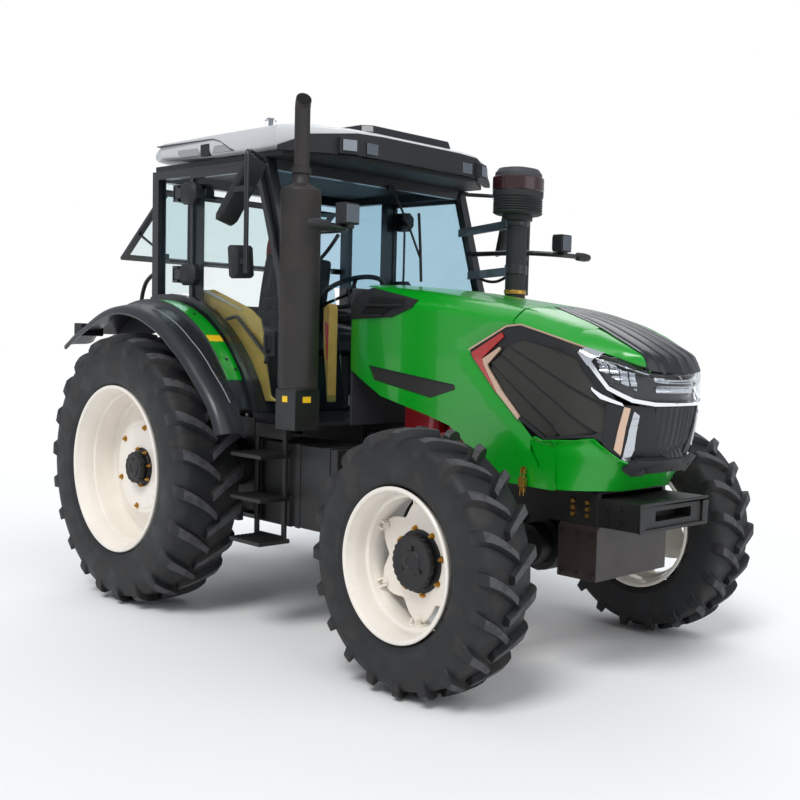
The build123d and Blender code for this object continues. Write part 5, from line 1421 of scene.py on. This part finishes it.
# ---------------------------------------------------------------- mirrors and lamp stalks
# Bent steel tubes in black enamel, clamped to the cab's front posts, carry moulded mirror and lamp heads.
# The mirror glass faces the driver.
MIRROR = finish("mirror_glass", "#D8DCE0", 0.03, metal=1.0)
for side, sign in (("left", 1), ("right", -1)):
    bm = bmesh.new()
    heads = bmesh.new()
    for x, y, z, w, h, lean, pitch in ((1200, 1036, 2440, 64, 175, 15, 0.5),
                                       (1256, 1066, 2062, 68, 88, -4, 0.0)):
        c, t = cos(radians(lean)), sin(radians(lean))

        def spot(dx, dy, dz):
            """A point of the head, leant over its stem and pitched."""
            across, height = dy * c - dz * t, dz * c + dy * t
            return at(x + dx + pitch * height, sign * (y + across), z + height)
        rings = []
        for dx, f in ((-34, 0.97), (-28, 1.0), (0, 0.97), (14, 0.8), (20, 0.5)):
            rings.append([spot(dx, dy * w * f, dz * h * f) for dy, dz in (
                (-1, -0.86), (-0.8, -1), (0.8, -1), (1, -0.86), (1, 0.86), (0.8, 1), (-0.8, 1), (-1, 0.86))])
        ribbon(bm, rings)
        box(bm, (x + 8, 1320), beside(sign, y + 18, 1100), (z - 16, z + 16))
        ribbon(heads, [[spot(dx, dy * w * 0.86, dz * h * 0.9) for dy,
                        dz in ((-1, -1), (1, -1), (1, 1), (-1, 1))] for dx in (-37, -33)])
    box(bm, (962, 1040), beside(sign, 770.4, 796), (2642, 2669))
    add(f"mirror_heads_{side}", bm, GRAIN_BLACK, "chassis", ["mirrors"] if sign > 0 else [],
        edge=6)
    add(f"mirror_glass_{side}", heads, MIRROR, "chassis")
    pipe(f"mirror_arm_{side}", [(1000, sign * 790, 2655), (1180, sign * 950, 2652), (1300, sign * 1070, 2645),
                                (1320, sign * 1090, 2610), (1320, sign * 1090, 2300),
                                (1320, sign * 1090, 2000)], 13, CAB_BLACK, "chassis")
    bm = bmesh.new()
    box(bm, (1802, 1880), beside(sign, 792, 888), (2258, 2364))
    for k in range(4):
        box(bm, (1790, 1804), beside(sign, 800 + 22 * k, 812 + 22 * k), (2268, 2354))
    box(bm, (1826, 1876), beside(sign, 820, 860), (2236, 2260))
    rings = []
    for y, w, h in ((962, 14, 16), (976, 28, 26), (1040, 32, 28), (1084, 24, 22), (1100, 8, 8)):
        rings.append([at(1855 + w * cos(b), sign * y,
                         2240 + h * sin(b)) for b in [2 * pi * i / 12 for i in range(12)]])
    ribbon(bm, rings)
    box(bm, (1112, 1140), beside(sign, 716, 768), (2212, 2288))
    add(f"lamp_heads_{side}", bm, GRAIN_BLACK, "chassis", ["lamp_stalks"] if sign > 0 else [],
        edge=5)
    bm = bmesh.new()
    box(bm, (1880, 1886), beside(sign, 800, 880), (2266, 2356))
    add(f"work_lamp_face_{side}", bm, BULB, "chassis", edge=2)
    pipe(f"lamp_arm_{side}", [(1130, sign * 726, 2250), (1400, sign * 722, 2250), (1640, sign * 722, 2248),
                              (1760, sign * 790, 2244), (1840, sign * 850, 2240), (1850, sign * 980, 2240)],
         16, CAB_BLACK, "chassis")
    pipe(f"lamp_brace_{side}", [(1200, sign * 730, 2110), (1300, sign * 726, 2060), (1480, sign * 726, 2080),
                                (1640, sign * 740, 2220)], 10, CAB_BLACK, "chassis")

# Tank and battery box: steel straps, a filler cap, and tread bars on the steps.
bm = bmesh.new()
for sign in (-1, 1):
    for x in (1340, 1600):
        box(bm, (x, x + 40), beside(sign, 758, 764), (616, 1084))
        box(bm, (x, x + 40), beside(sign, 440, 764), (1080, 1085))
    for z in (520, 760, 1000):
        for k in range(7):
            box(bm, (1010, 1280), beside(sign, 776 + 26 * k, 788 + 26 * k), (z + 23, z + 27))
drum(bm, (1450, 600, 1080), (1450, 600, 1116), 46, 32)
add("tank_fittings", bm, CHASSIS, "chassis", edge=1.5)

# Rear window handle: a bent tube across its lower bar, and a bent grab tube at one rear corner.
pipe("rear_window_handle", [(-640, -500, 2215), (-700, -480, 2160), (-700, 480, 2160), (-640, 500, 2215)], 12,
     CAB_BLACK, "chassis", smooth=False)
pipe("rear_grab_tube", [(-214, -700, 2060), (-330, -724, 2030), (-420, -724, 1900), (-420, -724, 1820)], 13,
     CAB_BLACK, "chassis")
# ---------------------------------------------------------------- what is left as the frame shows it
# Any solid that no piece above stands for is grained black plastic.
for name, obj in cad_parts.items():
    if not obj.hide_render and name not in PANES:
        obj.data.materials.clear()
        obj.data.materials.append(GRAIN_BLACK)
